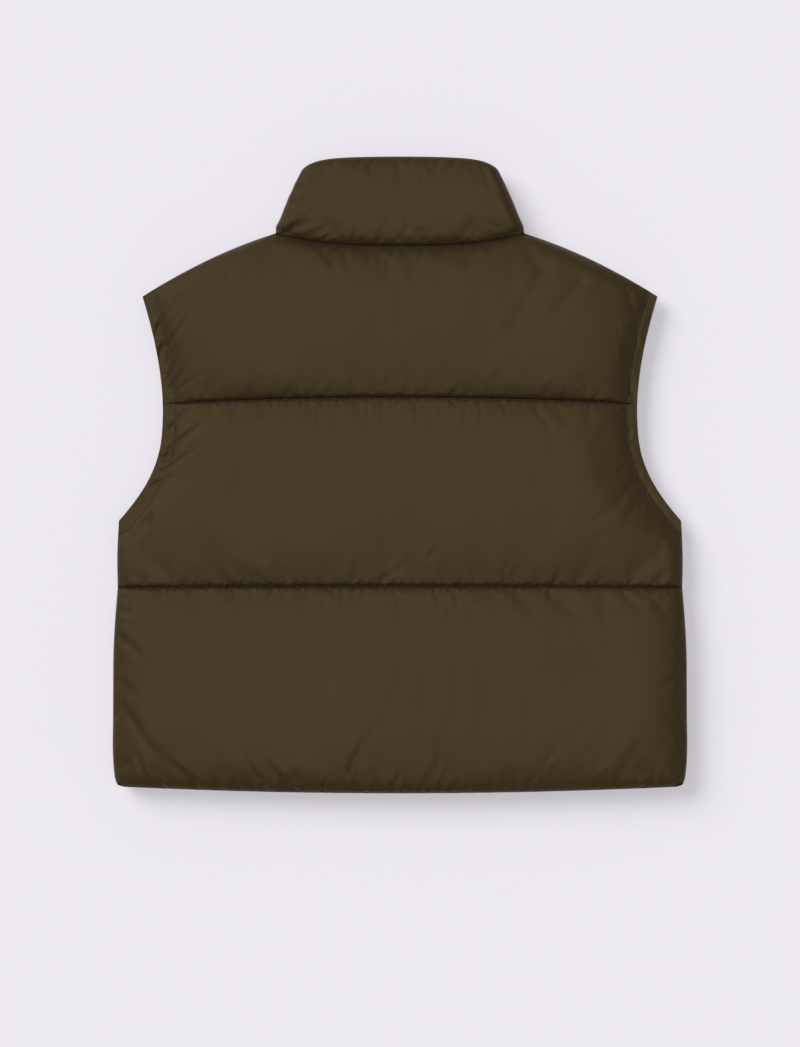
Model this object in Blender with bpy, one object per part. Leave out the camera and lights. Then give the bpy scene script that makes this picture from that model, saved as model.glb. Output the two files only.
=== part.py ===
"""Cropped stand-collar puffer vest, zipped shut and laid flat with its back up.

Frame: +X to the viewer's right, +Y from hem to collar, +Z up, z = 0 on the surface that
the front lies on. The origin is under the middle of the vest's outline. Heights in the
tables are measured along the cloth from the lowest point of the hem. Metres throughout.
"""

import math
from collections import namedtuple

import bmesh
import bpy
import numpy as np

# ---------------------------------------------------------------- driving sizes
LENGTH = 0.605  # lowest point of the hem to the top of the collar
BACK_LOFT = 0.0185  # back wall at its fullest, above the middle plane
FRONT_LOFT = 0.0172  # front wall before the surface presses it flat
COLLAR_BACK_LOFT = 0.0140
COLLAR_FRONT_LOFT = 0.0160
MID_Z = 0.015  # the plane where back and front lie on each other
GAP = 0.0003  # between pieces that meet
MARGIN_WALL = 0.003  # padding flattened by topstitching
EDGE_WALL = 0.0015  # thinnest wall, where two layers are seamed
BAND = 0.011  # topstitched band round each armhole

# Half width of the body at a height: the side of each panel from hem to shoulder point.
Side = namedtuple("Side", "height half_width")
BOTTOM_SIDE = [
    Side(0.0066, 0.2704),
    Side(0.0210, 0.2722),
    Side(0.0850, 0.2729),
    Side(0.1450, 0.2723),
    Side(0.1957, 0.2686),
]
MIDDLE_SIDE = [
    Side(0.1957, 0.2686),
    Side(0.2270, 0.2690),
    Side(0.2590, 0.2674),
]
ARMHOLE = [
    Side(0.2590, 0.2674),
    Side(0.2710, 0.2574),
    Side(0.2883, 0.2449),
    Side(0.3050, 0.2359),
    Side(0.3225, 0.2298),
    Side(0.3600, 0.2257),
    Side(0.4020, 0.2286),
    Side(0.4365, 0.2352),
    Side(0.4726, 0.2450),
]
HEM_RISE = 0.0066  # hem at the side seam, above its lowest point
LOW_SEAM = 0.1971  # seam between bottom and middle panels, at the middle
LOW_SEAM_FALL = 0.0014  # how much lower it is at the side
HIGH_SEAM = 0.3762  # seam between middle and top panels, at the middle
HIGH_SEAM_FALL = 0.0062
HIGH_SEAM_HALF = 0.2263
NECK_HALF = 0.1187  # neck point, where shoulder and collar meet
NECK_SEAM = 0.5201  # back neck seam at the middle
NECK_SEAM_RISE = 0.0125
SHOULDER_BULGE = 0.0052
FRONT_NECK_SEAM = 0.478
COLLAR_TOP_HALF = 0.0935
COLLAR_CORNER = 0.5925  # height of the collar's top corner
COLLAR_SIDE_BULGE = 0.0014
COLLAR_HEIGHT = 0.080
FRONT_COLLAR_TOP = 0.568
NECK_SLOT = 0.0004  # half the neck opening between the collar's two layers
FOLD_ANGLES = [math.radians(angle) for angle in (90, 66, 42, 20, 0, -20, -42, -66, -90)]

# Centre front zip. Its outer face looks down, into the groove between the fronts.
FRONT_EDGE = 0.007  # half the gap between the two fronts
FRONT_MARGIN = 0.009  # flat margin that the tape is sewn to
TAPE_FROM, TAPE_TO = 0.0033, 0.015
TAPE_WALL = 0.001
TAPE_Z = MID_Z - 0.0028
CHAIN_HALF = 0.003
CHAIN_WALL = 0.0025
MARGIN_DROP = 0.0036  # inner face of the margin, below the middle plane
ZIP_LOW, ZIP_HIGH = 0.004, 0.5655  # ends of the tapes
SLIDER_AT = 0.553
SLIDER = (0.0094, 0.0130, 0.0052)
BOX = (0.0090, 0.0100, 0.0046)
PULL_LENGTH = 0.030
PULL_DROOP = math.radians(14.5)  # the tab hangs until its end meets the surface

SHELL = ("shell", (0.060, 0.043, 0.022), 0.55, 0.0)
TAPE = ("zip_tape", (0.040, 0.029, 0.016), 0.85, 0.0)
TEETH = ("zip_teeth", (0.030, 0.023, 0.014), 0.40, 0.0)
METAL = ("zip_metal", (0.075, 0.065, 0.050), 0.35, 1.0)


# ---------------------------------------------------------------- curves of the cut
def through(rows, at):
    """Smooth half width at the given heights, through a table's rows."""
    x = np.array([row.height for row in rows])
    y = np.array([row.half_width for row in rows])
    slope = np.diff(y) / np.diff(x)
    middle = (slope[:-1] * np.diff(x)[1:] + slope[1:] * np.diff(x)[:-1]) / (x[2:] - x[:-2])
    tangent = np.concatenate([[1.5 * slope[0] - 0.5 * middle[0]], middle, [1.5 * slope[-1] - 0.5 * middle[-1]]])
    i = np.clip(np.searchsorted(x, at) - 1, 0, len(x) - 2)
    step = x[i + 1] - x[i]
    t = (at - x[i]) / step
    return (
        (2 * t**3 - 3 * t**2 + 1) * y[i]
        + (t**3 - 2 * t**2 + t) * step * tangent[i]
        + (3 * t**2 - 2 * t**3) * y[i + 1]
        + (t**3 - t**2) * step * tangent[i + 1]
    )


def hem(x):
    return HEM_RISE * (np.abs(x) / BOTTOM_SIDE[0].half_width) ** 2


def low_seam(x):
    return LOW_SEAM - LOW_SEAM_FALL * (np.abs(x) / MIDDLE_SIDE[0].half_width) ** 2


def high_seam(x):
    return HIGH_SEAM - HIGH_SEAM_FALL * (np.abs(x) / HIGH_SEAM_HALF) ** 2


def back_neck(x):
    return NECK_SEAM + NECK_SEAM_RISE * (np.abs(x) / NECK_HALF) ** 3


def front_neck(x):
    rise = NECK_SEAM + NECK_SEAM_RISE - FRONT_NECK_SEAM
    return FRONT_NECK_SEAM + rise * (np.abs(x) / NECK_HALF) ** 2.4


def shoulder(x):
    tip = ARMHOLE[-1]
    t = (np.abs(x) - NECK_HALF) / (tip.half_width - NECK_HALF)
    high = NECK_SEAM + NECK_SEAM_RISE
    return high + (tip.height - high) * t + SHOULDER_BULGE * 4 * t * (1 - t)


def yoke_top(neck):
    """Top of a top panel: its neck seam, then the shoulder."""
    return lambda x: np.where(np.abs(x) < NECK_HALF, neck(x), shoulder(x))


def top_side(v):
    """Side of a top panel: the armhole, from the high seam to the shoulder point."""
    height = HIGH_SEAM - HIGH_SEAM_FALL + (ARMHOLE[-1].height - HIGH_SEAM + HIGH_SEAM_FALL) * v
    return through(ARMHOLE, height), height


def middle_side(v):
    """Side of a middle panel: up the side seam, then round the armhole to the high seam."""
    low, high = MIDDLE_SIDE[0].height, HIGH_SEAM - HIGH_SEAM_FALL
    height = low + (high - low) * v
    seamed = through(MIDDLE_SIDE, np.minimum(height, MIDDLE_SIDE[-1].height))
    cut = through(ARMHOLE, np.maximum(height, ARMHOLE[0].height))
    return np.where(height < ARMHOLE[0].height, seamed, cut), height


def bottom_side(v):
    low, high = BOTTOM_SIDE[0].height, BOTTOM_SIDE[-1].height
    height = low + (high - low) * v
    return through(BOTTOM_SIDE, height), height


# ---------------------------------------------------------------- padding
def roll(t):
    """A quarter round: 0 at 0, level at 1."""
    return np.sqrt(1 - (1 - np.clip(t, 0, 1)) ** 2)


# How the padding falls away towards an edge. at_edge is its share of the full loft there,
# flat the width that stitching holds down, reach the width of the rounded rise after it.
Fall = namedtuple("Fall", "at_edge flat reach")
QUILTED = Fall(0.34, 0.0, 0.050)
SEAMED = Fall(0.07, 0.0, 0.034)
HEMMED = Fall(0.33, 0.0, 0.030)
ARMHOLE_EDGE = Fall(0.17, BAND, 0.034)
SHOULDERED = Fall(0.10, 0.0, 0.036)
NECKED = Fall(0.36, 0.0, 0.040)
ZIPPED = Fall(0.17, FRONT_MARGIN, 0.028)
COLLAR_SEAM = Fall(0.40, 0.0, 0.034)
COLLAR_EDGE = Fall(0.38, 0.0, 0.016)
HEM_LIFT = 0.0048  # a free edge's inner face is this far from the middle plane
HEM_LIFT_REACH = 0.010
RAMP = 0.006  # from the zip's margin to where front and back lie on each other


def fullness(distance, fall):
    return fall.at_edge + (1 - fall.at_edge) * roll((distance - fall.flat) / fall.reach)


def distance_to(points, line):
    """How far each (x, height) point is from a line of points."""
    a, d = line[:-1], np.diff(line, axis=0)
    rest = points[:, None, :] - a[None]
    t = np.clip((rest * d).sum(2) / np.maximum((d * d).sum(1), 1e-12), 0, 1)
    return np.linalg.norm(rest - t[..., None] * d, axis=2).min(axis=1)


# ---------------------------------------------------------------- meshes
def material(name, colour, roughness, metallic):
    made = bpy.data.materials.get(name)
    if made:
        return made
    made = bpy.data.materials.new(name)
    made.use_nodes = True
    made.diffuse_color = (*colour, 1.0)
    shader = made.node_tree.nodes["Principled BSDF"]
    shader.inputs["Base Color"].default_value = (*colour, 1.0)
    shader.inputs["Roughness"].default_value = roughness
    shader.inputs["Metallic"].default_value = metallic
    return made


def add_object(name, mesh, finish, smooth=True):
    thing = bpy.data.objects.new(name, mesh)
    bpy.context.scene.collection.objects.link(thing)
    mesh.materials.append(material(*finish))
    if smooth:
        mesh.shade_smooth()
        mesh.set_sharp_from_angle(angle=math.radians(50))
    return thing


def wall(name, outer, inner):
    """A closed cloth wall between two grids of points, rows by columns, outer face first."""
    rows, columns = outer.shape[:2]
    count = rows * columns
    grid = np.arange(count).reshape(rows, columns)
    a, b, c, d = grid[:-1, :-1], grid[:-1, 1:], grid[1:, 1:], grid[1:, :-1]
    faces = np.stack([a, b, c, d], axis=-1).reshape(-1, 4)
    border = np.concatenate([grid[0, :-1], grid[:-1, -1], grid[-1, :0:-1], grid[:0:-1, 0]])
    after = np.roll(border, -1)
    rim = np.stack([border + count, after + count, after, border], axis=-1)
    every = np.concatenate([faces, faces[:, ::-1] + count, rim])
    mesh = bpy.data.meshes.new(name)
    mesh.from_pydata(np.concatenate([outer.reshape(-1, 3), inner.reshape(-1, 3)]).tolist(), [], every.tolist())
    thing = add_object(name, mesh, SHELL)
    work = bmesh.new()
    work.from_mesh(mesh)
    bmesh.ops.recalc_face_normals(work, faces=work.faces)
    work.to_mesh(mesh)
    work.free()
    return thing


def spread_between(low_steps, high_steps, span, pitch):
    """Places from 0 to 1 over a span: close together near both ends, then a pitch apart."""
    low, high = np.array(low_steps) / span, 1 - np.array(high_steps)[::-1] / span
    between = np.linspace(low[-1], high[0], max(2, round((high[0] - low[-1]) * span / pitch) + 1))
    return np.concatenate([low[:-1], between, high[1:]])


SEAM_STEPS = [0.0, 0.004, 0.012, 0.026]  # grid lines beside a seam
SIDE_STEPS = [0.0, 0.003, 0.008, 0.018, 0.034]
BAND_STEPS = [0.0, BAND, 0.015, 0.024, 0.040]
MARGIN_STEPS = [0.0, FRONT_MARGIN, 0.011, 0.015, 0.024]
CENTRE_STEPS = [0.0, 0.019]
ROW_PITCH, ARMHOLE_PITCH = 0.034, 0.016
COLUMNS = 10  # across half a bottom or middle panel
NECK_COLUMNS = 7  # from the centre, or the zip's margin, to where the collar folds
SHOULDER_COLUMNS = 3

# An edge of a panel: its height at x, and the x of each column where it meets that edge.
Edge = namedtuple("Edge", "curve columns")


def columns_to(start, half, side_steps, count):
    """Places across half a panel: close together beside its start and its side."""
    near = start + np.array(MARGIN_STEPS if start else CENTRE_STEPS)
    beside = half - np.array(side_steps)[::-1]
    between = np.linspace(near[-1], beside[0], count - len(near) - len(beside) + 2)
    return np.concatenate([near[:-1], between, beside[1:]])


def neck_columns(start, fold):
    """Places along half a neck seam, from the centre or the zip to where the collar folds."""
    first = start + np.array(MARGIN_STEPS if start else [0.0])
    return np.concatenate([first[:-1], np.linspace(first[-1], fold, NECK_COLUMNS)])


def yoke_columns(start):
    """Places along the top of a top panel: under the collar's own columns, then to the tip."""
    neck = neck_columns(start, NECK_HALF - collar_roll(0.0))
    near = NECK_HALF + np.array([0.0, 0.012])
    beside = TIP_HALF - np.array(BAND_STEPS)[::-1]
    between = np.linspace(near[-1], beside[0], SHOULDER_COLUMNS)
    return np.concatenate([neck, near[:-1], between, beside[1:]])


def cloth_panel(name, rows, low, high, side, edges, layer, sign):
    """One quilted section: a back's across both sides, or the one on the sign side of a front.

    rows goes from 0 at the low Edge to 1 at the high one, side gives (half width, height) at
    those places, and edges lists (Fall, line) pairs.
    """
    start, end = low.columns[0], low.columns[-1]
    columns = np.clip((low.columns - start - 0.03) / (end - start - 0.07), 0, 1)
    c, v = np.meshgrid(columns, rows)
    side_x = side(v)[0]
    pull = side_x - low.columns[-1] * (1 - v) - high.columns[-1] * v
    x = low.columns * (1 - v) + high.columns * v + c * pull
    low_y, high_y = low.curve(low.columns) + GAP / 2, high.curve(high.columns) - GAP / 2
    y = low_y * (1 - v) + high_y * v
    flat = np.stack([x, y], axis=-1).reshape(-1, 2)

    share, from_hem, from_zip = np.ones(x.shape), np.ones(x.shape), np.ones(x.shape)
    for fall, line in edges:
        distance = distance_to(flat, line).reshape(x.shape)
        share *= fullness(distance, fall)
        if fall is HEMMED:
            from_hem = distance
        if fall is ZIPPED:
            from_zip = distance
    inner = GAP / 2 + HEM_LIFT * (1 - roll(from_hem / HEM_LIFT_REACH))
    ramp = np.clip((from_zip - FRONT_MARGIN - 0.0005) / RAMP, 0, 1)
    inner = np.maximum(inner, MARGIN_DROP * (1 - ramp))
    least = np.where(from_zip < FRONT_MARGIN + 0.001, MARGIN_WALL, EDGE_WALL)
    way, loft = (1, BACK_LOFT) if layer == "back" else (-1, FRONT_LOFT)
    outer = np.maximum(share * loft, inner + least)
    faces = []
    for distance in (outer, inner):
        z = np.maximum(MID_Z + way * distance, 0.0)
        half = np.stack([x * sign, y - LENGTH / 2, z], axis=-1)
        if layer == "back":
            other = half[:, :0:-1] * np.array([-1, 1, 1])
            half = np.concatenate([other, half], axis=1)
        faces.append(half)
    return wall(name, *faces)


def line_of(curve, low, high, count=60):
    """Points (x, height) along a curve given as height at x, from x low to x high."""
    x = np.linspace(low, high, count)
    return np.stack([x, curve(x) + 0 * x], axis=-1)


def side_line(side, low=0.0, high=1.0, count=60):
    return np.stack(side(np.linspace(low, high, count)), axis=-1)


LOW_HALF, SEAM_HALF = BOTTOM_SIDE[0].half_width, MIDDLE_SIDE[0].half_width
TIP_HALF, TIP = ARMHOLE[-1].half_width, ARMHOLE[-1].height
HIGH_END = HIGH_SEAM - HIGH_SEAM_FALL
HIGH_HALF = float(through(ARMHOLE, np.array(HIGH_END)))
MIDDLE_HEIGHT = HIGH_END - MIDDLE_SIDE[0].height
SIDE_SEAM = MIDDLE_SIDE[-1].height - MIDDLE_SIDE[0].height
UNDERARM = SIDE_SEAM / MIDDLE_HEIGHT


def bottom_panel(name, layer, sign, start, zipped):
    rows = spread_between(SIDE_STEPS, SEAM_STEPS, BOTTOM_SIDE[-1].height, ROW_PITCH)
    edges = [
        (HEMMED, line_of(hem, 0, LOW_HALF)),
        (QUILTED, line_of(low_seam, 0, SEAM_HALF)),
        (SEAMED, side_line(bottom_side)),
    ]
    low = Edge(hem, columns_to(start, LOW_HALF, SIDE_STEPS, COLUMNS + 2))
    high = Edge(low_seam, columns_to(start, SEAM_HALF, SIDE_STEPS, COLUMNS + 2))
    cloth_panel(name, rows, low, high, bottom_side, edges + zipped, layer, sign)


def middle_panel(name, layer, sign, start, zipped):
    seamed = spread_between(SEAM_STEPS, [0.0, 0.018], SIDE_SEAM, ROW_PITCH) * UNDERARM
    cut = spread_between([0.0, 0.007], SEAM_STEPS, MIDDLE_HEIGHT - SIDE_SEAM, ARMHOLE_PITCH)
    rows = np.concatenate([seamed[:-1], UNDERARM + (1 - UNDERARM) * cut])
    edges = [
        (QUILTED, line_of(low_seam, 0, SEAM_HALF)),
        (QUILTED, line_of(high_seam, 0, HIGH_HALF)),
        (SEAMED, side_line(middle_side, 0.0, UNDERARM)),
        (ARMHOLE_EDGE, side_line(middle_side, UNDERARM, 1.0)),
    ]
    low = Edge(low_seam, columns_to(start, SEAM_HALF, BAND_STEPS, COLUMNS + 2))
    high = Edge(high_seam, columns_to(start, HIGH_HALF, BAND_STEPS, COLUMNS + 2))
    cloth_panel(name, rows, low, high, middle_side, edges + zipped, layer, sign)


def top_panel(name, layer, sign, start, zipped):
    neck = back_neck if layer == "back" else front_neck
    rows = spread_between(SEAM_STEPS, SEAM_STEPS, TIP - HIGH_END, 0.022)
    edges = [
        (QUILTED, line_of(high_seam, 0, HIGH_HALF)),
        (ARMHOLE_EDGE, side_line(top_side)),
        (NECKED, line_of(neck, 0, NECK_HALF)),
        (SHOULDERED, line_of(shoulder, NECK_HALF, TIP_HALF)),
    ]
    columns = yoke_columns(start)
    low = Edge(high_seam, columns_to(start, HIGH_HALF, BAND_STEPS, len(columns)))
    high = Edge(yoke_top(neck), columns)
    cloth_panel(name, rows, low, high, top_side, edges + zipped, layer, sign)


def body():
    """Three sections for the back and for each front. The wearer's left is at -X."""
    zip_line = np.array([[FRONT_EDGE, 0.0], [FRONT_EDGE, LENGTH]])
    for prefix, layer, sign, start, zipped in (
        ("back", "back", 1, 0.0, []),
        ("left_front", "front", -1, FRONT_EDGE, [(ZIPPED, zip_line)]),
        ("right_front", "front", 1, FRONT_EDGE, [(ZIPPED, zip_line)]),
    ):
        bottom_panel(f"{prefix}_bottom", layer, sign, start, zipped)
        middle_panel(f"{prefix}_middle", layer, sign, start, zipped)
        top_panel(f"{prefix}_top", layer, sign, start, zipped)


# ---------------------------------------------------------------- collar
def collar_half(v):
    """Half width of the flattened collar from its seam, v = 0, to its top corner, v = 1."""
    return NECK_HALF + (COLLAR_TOP_HALF - NECK_HALF) * v + COLLAR_SIDE_BULGE * 4 * v * (1 - v)


def collar_top(share):
    drop = LENGTH - COLLAR_CORNER
    return LENGTH - 0.24 * drop * share**2 - 0.76 * drop * share**8


def collar_front_top(share):
    return FRONT_COLLAR_TOP + (COLLAR_CORNER - FRONT_COLLAR_TOP) * share**2


def collar_share(v):
    """Share of the collar's full loft at v, from its seam to its rolled top edge."""
    return float(fullness(v * COLLAR_HEIGHT, COLLAR_SEAM) * fullness((1 - v) * COLLAR_HEIGHT, COLLAR_EDGE))


def collar_lift(v):
    """How far the collar's inner face is from the middle plane."""
    return NECK_SLOT + HEM_LIFT * (1 - float(roll((1 - v) * COLLAR_HEIGHT / HEM_LIFT_REACH)))


def collar_roll(v):
    """Radius of the fold at the collar's side."""
    return max(COLLAR_BACK_LOFT * collar_share(v), collar_lift(v) + EDGE_WALL)


def collar_column(v, x, angle, layer):
    """An outer and an inner point of the collar. x is for a flat part, angle for the fold."""
    side, radius, inner = collar_half(v), collar_roll(v), collar_lift(v)
    way = 1 if layer == "back" else -1
    loft = COLLAR_BACK_LOFT if way > 0 else COLLAR_FRONT_LOFT
    if x is None:
        blend = (math.sin(angle) + 1) / 2
        loft = COLLAR_FRONT_LOFT + (COLLAR_BACK_LOFT - COLLAR_FRONT_LOFT) * blend
        outer = max(loft * collar_share(v), inner + EDGE_WALL)
        centre = side - radius
        places = [
            (centre + radius * math.cos(angle), outer * math.sin(angle)),
            (centre + inner * math.cos(angle), inner * math.sin(angle)),
        ]
    else:
        share, least = collar_share(v), EDGE_WALL
        if layer == "front":
            beyond = x - FRONT_EDGE
            share *= float(fullness(beyond, ZIPPED))
            ramp = min(max((beyond - FRONT_MARGIN - 0.0005) / RAMP, 0), 1)
            inner = max(inner, MARGIN_DROP * (1 - ramp))
            least = MARGIN_WALL if beyond < FRONT_MARGIN + 0.001 else EDGE_WALL
        outer = max(loft * share, inner + least)
        places = [(x, way * outer), (x, way * inner)]
    low_edge, high_edge = (back_neck, collar_top) if way > 0 else (front_neck, collar_front_top)
    points = []
    for across, z in places:
        part = min(across / side, 1.0)
        low = low_edge(part * NECK_HALF) + GAP / 2
        y = low + (high_edge(part) - low) * v - LENGTH / 2
        points.append((across, float(y), max(MID_Z + z, 0.0)))
    return points


def collar():
    """One padded strip round the neck, from one front edge to the other, pressed flat."""
    rows = spread_between([0.0, 0.003, 0.010, 0.022], [0.0, 0.002, 0.007, 0.018], COLLAR_HEIGHT, 0.018)
    half = []
    for v in rows:
        fold = collar_half(v) - collar_roll(v)
        row = [collar_column(v, x, None, "back") for x in neck_columns(0.0, fold)[:-1]]
        for angle in FOLD_ANGLES:
            row.append(collar_column(v, None, angle, "back" if angle >= 0 else "front"))
        row += [collar_column(v, x, None, "front") for x in neck_columns(FRONT_EDGE, fold)[-2::-1]]
        half.append(row)
    right = np.array(half)
    left = right[:, :0:-1].copy()
    left[..., 0] *= -1
    whole = np.concatenate([left, right], axis=1)
    return wall("collar", whole[:, :, 0], whole[:, :, 1])


# ---------------------------------------------------------------- centre front zip
def block(name, size, centre, finish, bevel=0.0):
    """A box with its edges rounded, placed in its mesh."""
    work = bmesh.new()
    bmesh.ops.create_cube(work, size=1.0)
    for vert in work.verts:
        vert.co = [vert.co[i] * size[i] for i in range(3)]
    if bevel:
        bmesh.ops.bevel(work, geom=work.edges[:], offset=bevel, segments=2, affect="EDGES", profile=0.5)
    mesh = bpy.data.meshes.new(name)
    work.to_mesh(mesh)
    work.free()
    thing = add_object(name, mesh, finish, smooth=False)
    thing.location = centre
    return thing


def combine(target, operation, other):
    """Cuts or joins with a helper, which stays in the file, hidden."""
    other.hide_render = True
    other.display_type = "WIRE"
    change = target.modifiers.new(operation.lower() + other.name, "BOOLEAN")
    change.operation, change.object, change.solver = operation, other, "EXACT"


def along(height):
    return height - LENGTH / 2


def zip_tapes():
    middle, half = (TAPE_FROM + TAPE_TO) / 2, TAPE_TO - TAPE_FROM
    size = (half, ZIP_HIGH - ZIP_LOW, TAPE_WALL)
    for name, sign in (("zip_tape_left", -1), ("zip_tape_right", 1)):
        block(name, size, (sign * middle, along((ZIP_LOW + ZIP_HIGH) / 2), TAPE_Z), TAPE)


def zip_chain():
    """The meshed teeth as a plain bar, from the box at the hem into the slider."""
    low, high = ZIP_LOW + BOX[1] + GAP, SLIDER_AT - SLIDER[1] / 2 + 0.004
    size = (2 * CHAIN_HALF, high - low, CHAIN_WALL)
    block("zip_chain", size, (0, along((low + high) / 2), TAPE_Z), TEETH, bevel=0.0006)


def zip_box():
    """Box and pin at the hem, which hold the two tapes' ends together."""
    body = block("zip_box", BOX, (0, along(ZIP_LOW + BOX[1] / 2), TAPE_Z), METAL, bevel=0.0009)
    for sign in (-1, 1):
        slit = block(
            f"cut_box_{sign}",
            (0.004, BOX[1] * 2, TAPE_WALL + 2 * GAP),
            (sign * (TAPE_FROM - GAP + 0.002), along(ZIP_LOW), TAPE_Z),
            METAL,
        )
        combine(body, "DIFFERENCE", slit)


def zip_stops():
    """A stop clamped on each row of teeth, above the slider."""
    for name, sign in (("zip_stop_left", -1), ("zip_stop_right", 1)):
        size = (0.0024, 0.0036, 0.0030)
        block(name, size, (sign * 0.0017, along(SLIDER_AT + SLIDER[1] / 2 + 0.0032), TAPE_Z), METAL, bevel=0.0006)


def zip_slider():
    """Two plates joined by a wedge, open below for the chain, with a bridge for the pull."""
    centre = along(SLIDER_AT)
    body = block("zip_slider", SLIDER, (0, centre, TAPE_Z), METAL, bevel=0.0010)
    channel = block(
        "cut_channel",
        (2 * (CHAIN_HALF + GAP), 0.0080, CHAIN_WALL + 2 * GAP),
        (0, centre - SLIDER[1] / 2 + 0.001, TAPE_Z),
        METAL,
    )
    combine(body, "DIFFERENCE", channel)
    for sign in (-1, 1):
        slit = block(
            f"cut_slit_{sign}",
            (0.006, SLIDER[1] * 2, TAPE_WALL + 2 * GAP),
            (sign * (TAPE_FROM - GAP + 0.003), centre, TAPE_Z),
            METAL,
        )
        combine(body, "DIFFERENCE", slit)
        mouth = block(
            f"cut_mouth_{sign}",
            (0.0024, 0.0080, CHAIN_WALL + 2 * GAP),
            (sign * 0.0024, centre + SLIDER[1] / 2 - 0.001, TAPE_Z),
            METAL,
        )
        combine(body, "DIFFERENCE", mouth)
    bridge = block(
        "join_bridge", (0.0022, 0.0096, 0.0034), (0, centre, TAPE_Z - SLIDER[2] / 2 - 0.0015), METAL, bevel=0.0006
    )
    window = block("cut_bridge", (0.01, 0.0058, 0.0022), (0, centre, TAPE_Z - SLIDER[2] / 2 - 0.0011), METAL)
    combine(bridge, "DIFFERENCE", window)
    combine(body, "UNION", bridge)


def zip_pull():
    """The pull tab: a bar under the bridge, two arms and a tab, hinged on the bar's axis."""
    hinge = bpy.data.objects.new("pull_hinge", None)
    bpy.context.scene.collection.objects.link(hinge)
    hinge.location = (0, along(SLIDER_AT), TAPE_Z - SLIDER[2] / 2 - 0.0012)
    hinge.rotation_euler = (PULL_DROOP, 0, 0)
    tab = block("zip_pull", (0.0070, PULL_LENGTH, 0.0014), (0, -PULL_LENGTH / 2 + 0.0007, 0), METAL, bevel=0.0005)
    window = block("cut_pull", (0.0034, 0.0062, 0.01), (0, -0.0031 - 0.0007, 0), METAL)
    grip = block("cut_grip", (0.0030, 0.0110, 0.01), (0, -PULL_LENGTH + 0.0090, 0), METAL, bevel=0.0012)
    for thing in (tab, window, grip):
        thing.parent = hinge
    combine(tab, "DIFFERENCE", window)
    combine(tab, "DIFFERENCE", grip)


# ---------------------------------------------------------------- the vest
for old in list(bpy.data.objects):
    bpy.data.objects.remove(old, do_unlink=True)

body()
collar()
zip_tapes()
zip_chain()
zip_box()
zip_stops()
zip_slider()
zip_pull()
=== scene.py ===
import math
from collections import namedtuple

import bmesh
import bpy
import numpy as np
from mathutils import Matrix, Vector


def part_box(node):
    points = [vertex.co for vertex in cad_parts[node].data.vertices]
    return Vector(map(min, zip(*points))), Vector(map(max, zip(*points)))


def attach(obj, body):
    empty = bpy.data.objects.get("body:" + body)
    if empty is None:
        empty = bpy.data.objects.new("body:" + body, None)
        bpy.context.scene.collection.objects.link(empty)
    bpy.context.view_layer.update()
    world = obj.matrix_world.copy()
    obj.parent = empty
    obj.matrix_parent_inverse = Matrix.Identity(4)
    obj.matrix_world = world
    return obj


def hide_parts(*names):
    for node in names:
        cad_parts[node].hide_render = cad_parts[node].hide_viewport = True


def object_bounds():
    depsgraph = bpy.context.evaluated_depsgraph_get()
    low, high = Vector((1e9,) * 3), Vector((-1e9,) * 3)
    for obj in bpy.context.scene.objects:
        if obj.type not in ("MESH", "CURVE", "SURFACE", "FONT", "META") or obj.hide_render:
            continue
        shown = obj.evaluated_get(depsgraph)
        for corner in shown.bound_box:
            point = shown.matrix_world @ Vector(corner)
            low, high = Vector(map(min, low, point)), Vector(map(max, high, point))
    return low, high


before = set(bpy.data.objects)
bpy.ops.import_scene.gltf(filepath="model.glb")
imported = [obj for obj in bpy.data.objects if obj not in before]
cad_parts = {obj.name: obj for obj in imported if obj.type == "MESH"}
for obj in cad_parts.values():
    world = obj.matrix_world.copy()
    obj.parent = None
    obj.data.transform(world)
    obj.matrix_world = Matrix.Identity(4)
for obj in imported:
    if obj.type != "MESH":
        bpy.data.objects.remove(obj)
cad_low, cad_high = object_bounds()

# ---------------------------------------------------------------------------------------
# The back: a yoke, a middle and a bottom section of nylon taffeta over polyester wadding.
# Each section is cut and quilted on its own, then seamed to the next one on the inside.
# The yoke and middle are turned in at the armholes and topstitched 11 mm from the edge.
# ---------------------------------------------------------------------------------------
HEM_Y = cad_low.y  # the lowest point of the hem
SEAM_GAP = 0.0003  # between pieces that meet
MIDDLE_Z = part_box("back_top")[0].z - SEAM_GAP / 2  # where the back lies on the fronts
BACK_LOFT = 0.0168
BAND = 0.0110  # topstitched band round an armhole
# The stitch groove's reach each side of the thread: bumped into the cloth, with its colour darkened there as
# painted shade.
THREAD_GROOVE = 0.0010
SEAM_SHADE = 0.0010  # how far from a seam the colour is darkened with painted shade of the cloth's fold
LINING = 0.0012  # least thickness of a padded wall

# How padding rises from an edge: start is its share of the full loft there, flat the width
# that stitching holds down, turn the quick rise of the shell after it and swell the slow one.
# share is how much of the whole rise is the quick one.
Edge = namedtuple("Edge", "start flat turn swell share")
QUILTED = Edge(0.46, 0.0, 0.0045, 0.085, 0.42)
SIDE_SEAM = Edge(0.07, 0.0, 0.016, 0.060, 0.62)
SHOULDER_SEAM = Edge(0.08, 0.0, 0.016, 0.060, 0.60)
NECK_SEAM = Edge(0.30, 0.0, 0.011, 0.060, 0.45)
HEM = Edge(0.28, 0.0, 0.013, 0.060, 0.62)
ARMHOLE = Edge(0.19, BAND, 0.016, 0.070, 0.34)
FRONT_EDGE = Edge(0.17, 0.009, 0.012, 0.050, 0.60)  # flat margin that the zip is sewn to
HEM_TURN = 0.0046  # how far the turned hem stands off the layer under it
HEM_TURN_DEPTH = 0.010
CORNER_TURN = 24  # least turn of an outline, in degrees, that makes a corner
CORNER_PULL, CORNER_REACH = 0.0026, 0.0105  # how a hem's corner is rounded at the side seam
EDGE_ROWS = (0.0008, 0.0019)  # two rows of the cloth's grid that lie close to every edge

# A crease in the shell, in millimetres from the centre line and up from the hem, deep at
# its first end and fading to its last. bend is its sideways bow as a share of its length.
Crease = namedtuple("Crease", "x height to_x to_height width depth bend")


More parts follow.
